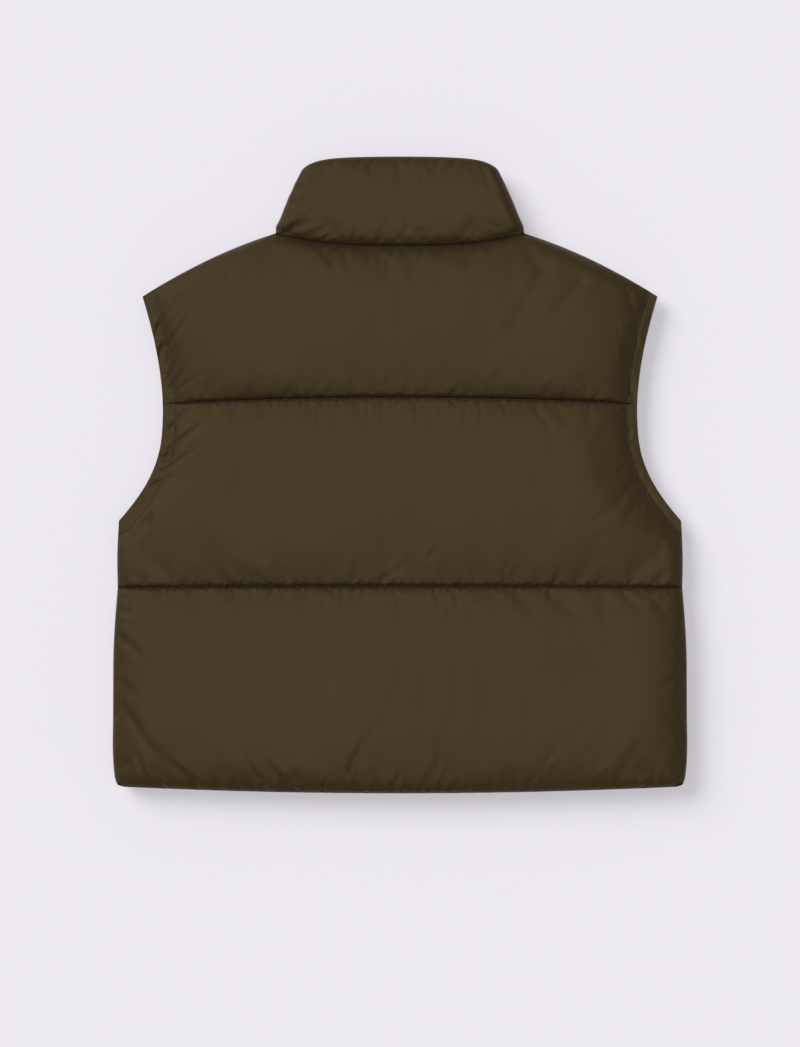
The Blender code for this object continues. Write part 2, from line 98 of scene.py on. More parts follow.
def outline(node, flip=False):
    """The edges of a section, read off the upright faces round its solid. Each is a line of
    points between two corners, and they run anticlockwise from the lower left corner."""
    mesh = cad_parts[node].data
    mesh.calc_loop_triangles()
    upright = {i for face in mesh.loop_triangles if abs(face.normal.z) < 0.02 for i in face.vertices}
    loop = np.unique(np.round([mesh.vertices[i].co[:2] for i in upright], 5), axis=0)
    if flip:
        loop[:, 0] *= -1
    middle = (loop.min(axis=0) + loop.max(axis=0)) / 2
    loop = loop[np.argsort(np.arctan2(*(loop - middle).T[::-1]))]
    loop = np.roll(loop, -int((loop[:, 0] + loop[:, 1]).argmin()), axis=0)
    step = np.diff(np.concatenate([loop[-1:], loop, loop[:1]]), axis=0)
    heading = np.arctan2(step[:, 1], step[:, 0])
    turn = np.abs((np.diff(heading) + math.pi) % (2 * math.pi) - math.pi)
    corners = [i for i in range(len(loop)) if turn[i] > math.radians(CORNER_TURN)]
    closed = np.concatenate([loop, loop[:1]])
    return [closed[i : j + 1] for i, j in zip(corners, corners[1:] + [len(loop)])]


def smooth_line(line, shares):
    """Points on a smooth curve through a line's points, at shares of its length."""
    s = np.concatenate([[0], np.cumsum(np.linalg.norm(np.diff(line, axis=0), axis=1))])
    if len(line) == 2:
        return line[0] + (line[1] - line[0]) * np.asarray(shares)[:, None]
    step = np.diff(s)
    slope = np.diff(line, axis=0) / step[:, None]
    inner = (slope[:-1] * step[1:, None] + slope[1:] * step[:-1, None]) / (s[2:] - s[:-2])[:, None]
    first, last = 1.5 * slope[0] - 0.5 * inner[0], 1.5 * slope[-1] - 0.5 * inner[-1]
    tangent = np.concatenate([[first], inner, [last]])
    at = np.asarray(shares) * s[-1]
    i = np.clip(np.searchsorted(s, at, side="right") - 1, 0, len(step) - 1)
    t = ((at - s[i]) / step[i])[:, None]
    h = step[i][:, None]
    return (
        (2 * t**3 - 3 * t**2 + 1) * line[i]
        + (t**3 - 2 * t**2 + t) * h * tangent[i]
        + (3 * t**2 - 2 * t**3) * line[i + 1]
        + (t**3 - t**2) * h * tangent[i + 1]
    )


def side_of(lines, shares):
    """Points along several edges laid end to end, at shares of their whole length."""
    lengths = np.array([np.linalg.norm(np.diff(line, axis=0), axis=1).sum() for line in lines])
    starts = np.concatenate([[0], np.cumsum(lengths)]) / lengths.sum()
    points = np.zeros((len(shares), 2))
    for line, low, high in zip(lines, starts[:-1], starts[1:]):
        here = (shares >= low - 1e-9) & (shares <= high + 1e-9)
        points[here] = smooth_line(line, np.clip((shares[here] - low) / (high - low), 0, 1))
    return points, starts[1:-1], lengths.sum()


def shares_for(breaks, length, pitch):
    """Places from 0 to 1 about a pitch apart, through the given breaks, closer at both ends."""
    stops = np.concatenate([[0], sorted(breaks), [1]])
    places = []
    for a, b in zip(stops, stops[1:]):
        places.append(np.linspace(a, b, max(2, round((b - a) * length / pitch) + 1))[:-1])
    places = np.concatenate(places + [[1.0]])
    near = np.array(EDGE_ROWS) / length
    return np.concatenate([[0], near, places[1:-1], 1 - near[::-1], [1]])


def sheet_grid(edges, sides, pitch):
    """A grid of flat points that fills an outline. sides says how many edges make its low,
    right, high and left side."""
    ends = np.cumsum(sides)
    low, right, high, left = (edges[end - count : end] for count, end in zip(sides, ends))
    high = [line[::-1] for line in high][::-1]
    left = [line[::-1] for line in left][::-1]
    none = np.array([0.0, 1.0])
    _, low_breaks, width = side_of(low, none)
    _, high_breaks, _ = side_of(high, none)
    _, right_breaks, height = side_of(right, none)
    _, left_breaks, _ = side_of(left, none)
    across = shares_for({*low_breaks, *high_breaks}, width, pitch)
    up = shares_for(set(np.round([*left_breaks, *right_breaks], 4)), height, pitch)
    low_line, high_line = side_of(low, across)[0], side_of(high, across)[0]
    left_line, right_line = side_of(left, up)[0], side_of(right, up)[0]
    u, v = across[None, :, None], up[:, None, None]
    ruled = low_line[None] * (1 - v) + high_line[None] * v
    ruled = ruled + left_line[:, None] * (1 - u) + right_line[:, None] * u
    corners = (
        low_line[0] * (1 - u) * (1 - v)
        + low_line[-1] * u * (1 - v)
        + high_line[0] * (1 - u) * v
        + high_line[-1] * u * v
    )
    return ruled - corners


def distance_to(points, line):
    """How far each point is from a line of points, and how far along the line, from 0 to 1."""
    flat = points.reshape(-1, 1, 2)
    a, d = line[:-1], np.diff(line, axis=0)
    t = np.clip(((flat - a) * d).sum(2) / np.maximum((d * d).sum(1), 1e-12), 0, 1)
    every = np.linalg.norm(flat - a - t[..., None] * d, axis=2)
    nearest = every.argmin(axis=1)
    row = np.arange(len(flat))
    along = (nearest + t[row, nearest]) / len(d)
    return every[row, nearest].reshape(points.shape[:-1]), along.reshape(points.shape[:-1])


def rolled(t):
    """A quarter round, from 0 at 0 to 1 at 1."""
    return np.sqrt(1 - (1 - np.clip(t, 0, 1)) ** 2)


def fullness(distance, edge):
    """The share of the full loft at a distance from an edge."""
    off = distance - edge.flat
    rise = edge.share * rolled(off / edge.turn) + (1 - edge.share) * rolled(off / edge.swell)
    held = edge.start * (1 - 0.55 * np.clip(-off / max(edge.flat, 1e-6), 0, 1))  # a band thins to its edge
    return held + (1 - edge.start) * rise


def creased(points, creases):
    """How far each crease lets the shell fall, in metres: a narrow trough with a low ridge
    on either side."""
    fall = np.zeros(points.shape[:-1])
    for crease in creases:
        start = np.array([crease.x, crease.height]) / 1000 + [0, HEM_Y]
        end = np.array([crease.to_x, crease.to_height]) / 1000 + [0, HEM_Y]
        way = end - start
        length = np.linalg.norm(way)
        reach = (length + 6 * crease.width / 1000) ** 2
        near = ((points - (start + end) / 2) ** 2).sum(-1) < reach
        if not near.any():
            continue
        t = np.linspace(0, 1, 9)[:, None]
        bow = np.array([-way[1], way[0]]) * crease.bend
        line = start + way * t + bow * (4 * t * (1 - t))
        distance, along = distance_to(points[near][None], line)
        off = points[near] - start
        side = np.sign(way[0] * off[:, 1] - way[1] * off[:, 0])
        q = (distance[0] * side) / (crease.width / 1000)
        left_ridge = 0.45 * np.exp(-((q - 1.5) ** 2) * 1.2)
        right_ridge = 0.30 * np.exp(-((q + 1.5) ** 2) * 1.2)
        shape = np.exp(-(q**2) * 1.6) - left_ridge - right_ridge
        fade = (1 - along[0]) ** 1.1 * np.clip(along[0] * length / 0.002 + 0.5, 0, 1)
        fall[near] += crease.depth / 1000 * shape * fade
    return fall


def puckers(line, slants, seed, inward, spacing, length, width, depth):
    """Creases that start at a seam, at uneven places along it. slants gives their heading in
    degrees at the seam's two ends, and inward is 1 above the seam, -1 below. The other pairs
    are the least and most of each size, in millimetres."""
    chance = np.random.default_rng(seed)
    total = np.linalg.norm(np.diff(line, axis=0), axis=1).sum() * 1000
    made, at = [], chance.uniform(*spacing) / 2
    while at < total - 3:
        x, y = smooth_line(line, [at / total])[0] * 1000
        heading = math.radians(np.interp(at / total, [0, 1], slants) + chance.normal(0, 14))
        reach = inward * chance.uniform(*length)
        up = y - HEM_Y * 1000
        ends = (x, up, x + reach * math.cos(heading), up + reach * math.sin(heading))
        made.append(Crease(*ends, chance.uniform(*width), chance.uniform(*depth), chance.normal(0, 0.1)))
        at += chance.uniform(*spacing)
    return made


def quads(grid):
    """The four corners of every square in a grid of point numbers."""
    return np.stack([grid[:-1, :-1], grid[:-1, 1:], grid[1:, 1:], grid[1:, :-1]], axis=-1).reshape(-1, 4)


def placed(name, data):
    """A new object at the origin, in the scene."""
    thing = bpy.data.objects.new(name, data)
    bpy.context.scene.collection.objects.link(thing)
    return thing


def settle(sheets, frames=16):
    """Lets sheets of shell fabric settle over their wadding. Each is a little longer than the
    seams it is gathered on, is held where its weight is 1, and is pushed out from inside."""
    scene = bpy.context.scene
    made = []
    for points, held, slack, outward in sheets:
        rows, columns = held.shape
        grid = np.arange(rows * columns).reshape(rows, columns)
        faces = quads(grid) if outward > 0 else quads(grid)[:, ::-1]
        mesh = bpy.data.meshes.new("shell_sheet")
        mesh.from_pydata(points.reshape(-1, 3).tolist(), [], faces.tolist())
        thing = placed("shell_sheet", mesh)
        group = thing.vertex_groups.new(name="held")
        weights = np.round(held.reshape(-1), 2)
        for weight in np.unique(weights):
            if weight > 0:
                group.add(np.flatnonzero(weights == weight).tolist(), float(weight), "REPLACE")
        cloth = thing.modifiers.new("cloth", "CLOTH")
        fabric = cloth.settings
        fabric.quality = 6
        fabric.mass = 0.3
        fabric.air_damping = 2.0
        fabric.tension_stiffness = fabric.compression_stiffness = 18
        fabric.shear_stiffness = 8
        fabric.bending_stiffness = 1.2
        fabric.tension_damping = fabric.compression_damping = fabric.shear_damping = 6
        fabric.bending_damping = 0.5
        fabric.vertex_group_mass = "held"
        fabric.pin_stiffness = 1.0
        fabric.use_pressure = True
        fabric.uniform_pressure_force = 0.9
        fabric.shrink_min = -slack
        fabric.effector_weights.gravity = 0.0
        cloth.point_cache.frame_start, cloth.point_cache.frame_end = 1, frames
        made.append(thing)
    for step in range(1, frames + 1):
        scene.frame_set(step)
    graph = bpy.context.evaluated_depsgraph_get()
    settled = []
    for thing, (points, *_) in zip(made, sheets):
        mesh = thing.evaluated_get(graph).data
        moved = np.empty(len(mesh.vertices) * 3)
        mesh.vertices.foreach_get("co", moved)
        settled.append(moved.reshape(points.shape))
        bpy.data.objects.remove(thing, do_unlink=True)
    scene.frame_set(1)
    return settled


def finer(grid):
    """Doubles a grid of values or points, with smooth curves through the ones it has."""
    for axis in (0, 1):
        g = np.moveaxis(grid, axis, 0)
        between = (g[:-1] + g[1:]) / 2
        between[1:-1] += (g[1:-2] + g[2:-1] - g[:-3] - g[3:]) / 16
        out = np.empty((2 * len(g) - 1, *g.shape[1:]))
        out[::2], out[1::2] = g, between
        grid = np.moveaxis(out, 0, axis)
    return grid


def faced_out(mesh, sharp):
    """Turns a closed mesh's faces outwards and smooths all but its sharp edges, in degrees."""
    work = bmesh.new()
    work.from_mesh(mesh)
    bmesh.ops.recalc_face_normals(work, faces=work.faces)
    work.to_mesh(mesh)
    work.free()
    mesh.shade_smooth()
    mesh.set_sharp_from_angle(angle=math.radians(sharp))


def padded_wall(name, outer, inner, flat, marks):
    """A closed padded wall: a fine grid of shell points, and a grid of lining points half as
    fine behind it. flat gives each shell point's place on the cloth, for its UV map, and
    marks the measures that its material reads."""
    rows, columns = outer.shape[:2]
    shell = np.arange(rows * columns).reshape(rows, columns)
    inner_rows, inner_columns = inner.shape[:2]
    lining = np.arange(inner_rows * inner_columns).reshape(inner_rows, inner_columns) + shell.size
    faces = quads(shell).tolist() + quads(lining)[:, ::-1].tolist()
    for fine, coarse in (
        (shell[0], lining[0]),
        (shell[:, -1], lining[:, -1]),
        (shell[-1, ::-1], lining[-1, ::-1]),
        (shell[::-1, 0], lining[::-1, 0]),
    ):
        for i in range(len(coarse) - 1):
            faces.append([coarse[i], coarse[i + 1], fine[2 * i + 2], fine[2 * i + 1], fine[2 * i]])
    mesh = bpy.data.meshes.new(name)
    mesh.from_pydata(np.concatenate([outer.reshape(-1, 3), inner.reshape(-1, 3)]).tolist(), [], faces)
    places = np.concatenate([flat.reshape(-1, 2), flat[::2, ::2].reshape(-1, 2)])
    uv = mesh.uv_layers.new(name="cloth")
    corners = np.empty(len(mesh.loops), dtype=np.int32)
    mesh.loops.foreach_get("vertex_index", corners)
    uv.uv.foreach_set("vector", places[corners].reshape(-1))
    for mark, values in marks.items():
        layer = mesh.attributes.new(mark, "FLOAT", "POINT")
        layer.data.foreach_set("value", np.concatenate([values.reshape(-1), values[::2, ::2].reshape(-1)]))
    faced_out(mesh, 60)
    return placed(name, mesh)


def plug(tree, made, **settings):
    """Sets a node's properties and sockets by name. A socket given as a value is linked."""
    for name, value in settings.items():
        if hasattr(made, name) and name not in made.inputs:
            setattr(made, name, value)
            continue
        key = int(name[1:]) if name[0] == "i" and name[1:].isdigit() else name.replace("_", " ")
        if isinstance(value, bpy.types.NodeSocket):
            tree.links.new(value, made.inputs[key])
        else:
            made.inputs[key].default_value = value
    return made


def node(tree, kind, place, **settings):
    """A new shader or geometry node, with its settings."""
    made = tree.nodes.new(kind)
    made.location = (place[0] * 190, -place[1] * 170)
    return plug(tree, made, **settings)


def noise(tree, place, vector, scale, detail, **settings):
    """A noise texture's value."""
    made = node(tree, "ShaderNodeTexNoise", place, Vector=vector, Scale=scale, Detail=detail, **settings)
    return made.outputs["Fac"]


def bumped(tree, place, height, strength, distance, **under):
    """Normals raised by a height, over those of a coarser bump where one is given."""
    made = node(tree, "ShaderNodeBump", place, Height=height, Strength=strength, Distance=distance, **under)
    return made.outputs[0]


def tones(tree, place, fac, dark, light):
    """A colour that drifts between two tones of one finish."""
    ramp = node(tree, "ShaderNodeValToRGB", place, Fac=fac)
    for stop, colour in zip(ramp.color_ramp.elements, (dark, light)):
        stop.color = (*colour, 1)
    return ramp


def multiplied(tree, place, colour, shade):
    """A colour darkened by a shade from 0 to 1."""
    made = node(tree, "ShaderNodeMix", place, data_type="RGBA", blend_type="MULTIPLY", Factor=1.0)
    return plug(tree, made, A=colour, B=shade).outputs["Result"]


def new_material(name):
    """A material, with its tree, its shader and the object coordinates that it reads."""
    material = bpy.data.materials.new(name)
    material.use_nodes = True
    tree = material.node_tree
    place = node(tree, "ShaderNodeTexCoord", (-6, 0)).outputs["Object"]
    return material, tree, tree.nodes["Principled BSDF"], place


def new_group(name, kind, inputs, outputs):
    """An empty node group with named sockets: (socket name, socket type, value)."""
    tree = bpy.data.node_groups.new(name, kind)
    for way, sockets in (("INPUT", inputs), ("OUTPUT", outputs)):
        for label, sort, value in sockets:
            socket = tree.interface.new_socket(name=label, in_out=way, socket_type=sort)
            if value is not None:
                socket.default_value = value
    return tree, tree.nodes.new("NodeGroupInput"), tree.nodes.new("NodeGroupOutput")


def maths(tree, place, operation, *values):
    """A Math node's result."""
    made = node(tree, "ShaderNodeMath", place, operation=operation)
    return plug(tree, made, **{f"i{i}": value for i, value in enumerate(values)}).outputs[0]


def weave_group():
    """A plain weave: threads that pass over and under each other, as a height from 0 to 1."""
    tree, given, result = new_group(
        "plain_weave",
        "ShaderNodeTree",
        [("Cloth", "NodeSocketVector", None), ("Threads per Metre", "NodeSocketFloat", 2200.0)],
        [("Height", "NodeSocketFloat", None)],
    )
    scaled = node(tree, "ShaderNodeVectorMath", (1, 0), operation="SCALE")
    plug(tree, scaled, i0=given.outputs[0], Scale=given.outputs[1])
    parts = node(tree, "ShaderNodeSeparateXYZ", (2, 0), Vector=scaled.outputs[0])
    waves = []
    for row, axis in enumerate("XY"):
        turn = maths(tree, (3, row), "MULTIPLY", parts.outputs[axis], math.pi)
        waves.append(maths(tree, (4, row), "SINE", turn))
    both = maths(tree, (5, 0), "MULTIPLY", *waves)
    tree.links.new(maths(tree, (6, 0), "MULTIPLY_ADD", both, 0.5, 0.5), result.inputs[0])
    return tree


def crinkle_group():
    """The fine slanting crinkles of light nylon over wadding, as a height from 0 to 1."""
    tree, given, result = new_group(
        "nylon_crinkle",
        "ShaderNodeTree",
        [("Place", "NodeSocketVector", None), ("Scale", "NodeSocketFloat", 1.0)],
        [("Height", "NodeSocketFloat", None)],
    )
    turned = node(tree, "ShaderNodeMapping", (1, 0), Vector=given.outputs[0])
    plug(tree, turned, Rotation=(0, 0, math.radians(-58)), Scale=(0.42, 1, 1))
    scaled = node(tree, "ShaderNodeVectorMath", (2, 0), operation="SCALE")
    plug(tree, scaled, i0=turned.outputs[0], Scale=given.outputs[1])
    broad = noise(tree, (3, 0), scaled.outputs[0], 34.0, 2.0, Roughness=0.5, Distortion=0.6)
    fine = noise(tree, (3, 1), scaled.outputs[0], 150.0, 3.0, Roughness=0.55, Distortion=0.9)
    tree.links.new(maths(tree, (4, 0), "MULTIPLY_ADD", fine, 0.25, broad), result.inputs[0])
    return tree


WEAVE, CRINKLE = weave_group(), crinkle_group()


def shell_nylon():
    """Olive brown taffeta with a faint sheen. Its colour carries painted shade: darker in the fold
    by each seam and in the groove of the topstitching."""
    material, tree, shader, place = new_material("shell_nylon")
    cloth = node(tree, "ShaderNodeUVMap", (-6, 2), uv_map="cloth").outputs[0]
    band = node(tree, "ShaderNodeAttribute", (-6, 3), attribute_name="from_thread").outputs["Fac"]
    seam = node(tree, "ShaderNodeAttribute", (-6, 4), attribute_name="from_seam").outputs["Fac"]
    soft = {"interpolation_type": "SMOOTHSTEP"}

    drift = noise(tree, (-4, -1), place, 9.0, 3.0)
    tone = tones(tree, (-3, -1), drift, (0.0303, 0.0193, 0.0066), (0.0337, 0.0217, 0.0076))
    tone.color_ramp.elements[0].position, tone.color_ramp.elements[1].position = 0.32, 0.70
    # Painted shade: the colour darkens in the groove along each line of topstitching, which is also bumped.
    off = maths(tree, (-3, 3), "ABSOLUTE", band)
    groove = node(tree, "ShaderNodeMapRange", (-2, 3), **soft, Value=off, From_Max=THREAD_GROOVE).outputs[0]
    shade = node(tree, "ShaderNodeMapRange", (-1, 3), Value=groove, To_Min=0.78).outputs[0]
    # Painted shade: the colour darkens towards each quilted and neck seam, where the cloth folds down into
    # shade.
    fold = node(tree, "ShaderNodeMapRange", (-2, 4), **soft, Value=seam, From_Max=SEAM_SHADE, To_Min=0.30)
    both = maths(tree, (-1, 4), "MULTIPLY", shade, fold.outputs[0])
    coloured = multiplied(tree, (-1, -1), tone.outputs["Color"], both)
    worn = node(tree, "ShaderNodeMapRange", (-2, 1), Value=drift, To_Min=0.50, To_Max=0.62)

    crinkle = node(tree, "ShaderNodeGroup", (-4, 1), node_tree=CRINKLE, Place=place, Scale=1.0)
    weave = node(tree, "ShaderNodeGroup", (-4, 2), node_tree=WEAVE, Cloth=cloth, Threads_per_Metre=2200.0)
    low = bumped(tree, (-2, 2), crinkle.outputs[0], 0.25, 0.0016)
    sunk = bumped(tree, (-1, 2), groove, 0.8, 0.0005, Normal=low)
    threads = bumped(tree, (0, 2), weave.outputs[0], 0.35, 0.00012, Normal=sunk)
    plug(tree, shader, Base_Color=coloured, Roughness=worn.outputs[0], Normal=threads)
    plug(tree, shader, Specular_IOR_Level=0.28, Specular_Tint=(1.0, 0.82, 0.50, 1))
    plug(tree, shader, Sheen_Weight=0.16, Sheen_Roughness=0.35, Sheen_Tint=(0.62, 0.52, 0.36, 1))
    return material


SHELL = shell_nylon()

# A section: the edges of its outline in order, and how many make its low, right, high and
# left side.
Section = namedtuple("Section", "node edges sides")
BACK = [
    Section("back_bottom", [HEM, SIDE_SEAM, QUILTED, SIDE_SEAM], (1, 1, 1, 1)),
    Section("back_middle", [QUILTED, SIDE_SEAM, ARMHOLE, QUILTED, ARMHOLE, SIDE_SEAM], (1, 2, 1, 2)),
    Section("back_top", [QUILTED, ARMHOLE, SHOULDER_SEAM, NECK_SEAM, SHOULDER_SEAM, ARMHOLE], (1, 1, 3, 1)),
]
BACK_CREASES = {
    "back_bottom": [
        Crease(-269, 150, -238, 118, 5.0, 1.3, 0.08),
        Crease(-270, 108, -246, 92, 4.0, 1.1, 0.05),
        Crease(-258, 78, -212, 20, 6.0, 1.2, -0.06),
        Crease(-225, 4, -238, 34, 4.0, 1.0, 0.05),
        Crease(-191, 3, -224, 34, 4.2, 2.2, -0.05),
        Crease(-233, 6, -253, 46, 3.4, 1.8, 0.04),
        Crease(-168, 2, -181, 22, 3.4, 1.6, 0.05),
        Crease(-133, 14, -149, 40, 3.4, 1.5, 0.05),
        Crease(-108, 3, -132, 38, 4.0, 2.1, -0.05),
        Crease(-97, 2, -114, 17, 2.8, 1.7, 0.04),
        Crease(-74, 2, -70, 15, 2.5, 1.8, 0.03),
        Crease(-40, 2, -42, 27, 3.4, 1.9, 0.04),
        Crease(-8, 2, 2, 24, 3.2, 1.6, 0.04),
        Crease(-47, 22, -8, 80, 4.8, 0.7, 0.06),
        Crease(26, 4, 46, 48, 4.0, 0.7, 0.04),
        Crease(118, 5, 152, 52, 4.0, 0.7, -0.05),
        Crease(206, 8, 238, 66, 6.0, 0.8, 0.05),
        Crease(268, 120, 236, 92, 5.0, 0.7, 0.05),
        Crease(240, 194, 214, 168, 5.0, 0.6, 0.05),
        Crease(-120, 195, -140, 160, 4.0, 0.6, 0.05),
        Crease(60, 196, 36, 152, 4.8, 0.6, 0.05),
    ],
    "back_middle": [
        Crease(-223, 317, -157, 369, 4.2, 2.1, 0.05),
        Crease(-219, 345, -190, 370, 3.4, 1.8, 0.05),
        Crease(-237, 290, -205, 300, 3.8, 1.5, 0.10),
        Crease(-239, 262, -264, 210, 4.2, 2.2, -0.05),
        Crease(-236, 268, -252, 222, 4.2, 1.6, 0.04),
        Crease(225, 298, 152, 240, 6.0, 0.9, 0.06),
        Crease(233, 288, 206, 234, 5.6, 0.8, -0.05),
        Crease(239, 284, 238, 238, 4.6, 0.8, 0.03),
        Crease(244, 274, 266, 240, 4.6, 0.9, 0.05),
        Crease(218, 345, 205, 318, 3.4, 1.0, 0.05),
        Crease(28, 223, 44, 246, 3.2, 0.7, 0.04),
        Crease(-22, 200, 18, 232, 4.0, 0.6, -0.05),
        Crease(-118, 372, -142, 346, 4.0, 0.6, 0.05),
        Crease(-222, 326, -186, 350, 2.4, 1.0, 0.04),
        Crease(-219, 338, -202, 352, 2.4, 0.9, 0.04),
        Crease(-228, 305, -176, 342, 2.5, 1.1, -0.03),
        Crease(-247, 282, -236, 256, 2.4, 1.0, 0.04),
        Crease(222, 334, 196, 306, 2.8, 0.5, 0.04),
        Crease(221, 322, 182, 282, 3.0, 0.5, 0.03),
        Crease(228, 304, 196, 254, 3.0, 0.5, -0.03),
        Crease(236, 292, 220, 246, 2.8, 0.5, 0.03),
    ],
    "back_top": [
        Crease(-76, 516, -60, 484, 4.0, 0.7, 0.10),
        Crease(-52, 515, -44, 488, 4.0, 0.6, -0.08),
        Crease(-30, 514, -34, 486, 4.0, 0.6, 0.08),
        Crease(-6, 515, -14, 492, 4.0, 0.6, 0.05),
        Crease(22, 514, 8, 490, 4.0, 0.5, 0.05),
        Crease(74, 518, 60, 494, 4.0, 0.6, 0.05),
        Crease(-228, 400, -206, 470, 3.8, 2.6, 0.05),
        Crease(-231, 436, -222, 466, 3.4, 2.0, 0.03),
        Crease(-219, 384, -196, 418, 3.8, 1.6, -0.05),
        Crease(138, 498, 76, 408, 9.0, 1.2, 0.05),
        Crease(174, 486, 128, 424, 7.0, 1.0, -0.04),
        Crease(222, 380, 212, 440, 3.8, 1.3, 0.04),
        Crease(228, 456, 216, 398, 3.8, 1.2, -0.04),
        Crease(-160, 492, -182, 452, 6.0, 0.9, 0.05),
        Crease(-229, 442, -200, 478, 3.0, 1.9, 0.04),
        Crease(-226, 420, -190, 474, 3.4, 2.0, -0.04),
        Crease(-229, 414, -214, 470, 2.5, 1.2, 0.03),
        Crease(-221, 392, -190, 446, 2.7, 1.2, 0.04),
        Crease(-225, 404, -200, 456, 2.5, 1.1, -0.03),
        Crease(-234, 452, -228, 480, 2.4, 0.9, 0.03),
        Crease(219, 392, 206, 452, 2.5, 0.7, 0.03),
        Crease(226, 424, 217, 470, 2.4, 0.7, -0.03),
        Crease(-218, 378, -176, 402, 2.7, 0.9, 0.04),
    ],
}
MOST_SHIFT = 0.30  # how far a shell point may slide sideways, as a share of its way to an edge
SLACK = 0.006  # how much longer the shell is than the seams it is gathered on
ZIP_SEWN = 0.0050  # from the front edge to the stitching that holds the zip
MARGIN_WALL = 0.0028
MARGIN_DROP = 0.0036  # the lining's depth at the zip's margin, which leaves room for the tape
MARGIN_RAMP = 0.006

SURFACE = 0.0002  # where the pressed fronts lie, clear of the surface under them
WRINKLES_KEPT = (0.80, 0.22)  # share of the settled wrinkles by a seam, and far from one
BLUR_REACH = 5  # grid steps that the rest are evened out over
SEAM_WRINKLES, SEWN_WRINKLES = 0.035, 0.006  # how far from a seam many wrinkles, or all, are kept
FAR = 0.05  # for points that no such edge is near
EDGE_HELD, EDGE_EASED = 0.0004, 0.0008  # the shell is held this near an edge, and eased past it
MARGIN_END = FRONT_EDGE.flat + 0.001
SIDE_FOLD_REACH = 0.013
FOLD_SPACING, FOLD_LEAN = (0.008, 0.024), 0.0045
FOLD_WIDTH, FOLD_DEPTH = (1.7, 2.5), (0.15, 0.42)  # in millimetres, as a crease has them

# Puckers along a seam, the least and most of each size in millimetres: their spacing, length,
# width and depth. The slants are their headings at the seam's two ends, in degrees.
BROAD_PUCKERS = (22, 58), (12, 30), (2.8, 4.2), (0.35, 0.75)
TIGHT_PUCKERS = (4, 14), (4, 10), (1.7, 2.4), (0.60, 1.35)
HEM_PUCKERS = (7, 17), (9, 24), (2.2, 3.4), (0.70, 1.40)
LOW_SLANTS, HIGH_SLANTS, HEM_SLANTS = (112, 62), (72, 58), (124, 60)

Laid = namedtuple("Laid", "flat share lining least creases held nearest thread seam paths")


def calmed(start, moved, nearest):
    """Evens out most of a settled sheet's wrinkles and keeps its swell: wadding holds the
    shell smooth away from the seams."""
    swell = moved - start
    broad = swell
    for axis in (0, 1):
        for _ in range(2):
            ends = [(BLUR_REACH, BLUR_REACH) if i == axis else (0, 0) for i in range(3)]
            wide = np.pad(broad, ends, mode="edge")
            total = np.cumsum(np.insert(wide, 0, 0.0, axis=axis), axis=axis)
            count = 2 * BLUR_REACH + 1
            low = np.take(total, range(start.shape[axis]), axis=axis)
            high = np.take(total, range(count, count + start.shape[axis]), axis=axis)
            broad = (high - low) / count
    near, far = WRINKLES_KEPT
    kept = far + (near - far) * np.clip(1 - nearest / SEAM_WRINKLES, 0, 1)[..., None]
    kept = kept + (1 - kept) * np.clip(1 - nearest / SEWN_WRINKLES, 0, 1)[..., None]
    return start + broad * (1 - kept) + swell * kept


def sewn_down(nearest, stitched):
    """How firmly each point of the shell is held: in full by its edges and where stitched."""
    held = np.clip(1 - (nearest - EDGE_HELD) / EDGE_EASED, 0, 1)
    return np.maximum(held, np.where(stitched, 1.0, 0.0))


def past_margin(from_zip):
    """0 on the flat margin that the zip is sewn to, and up to 1 over the ramp beside it."""
    return np.clip((from_zip - FRONT_EDGE.flat - 0.0005) / MARGIN_RAMP, 0, 1)


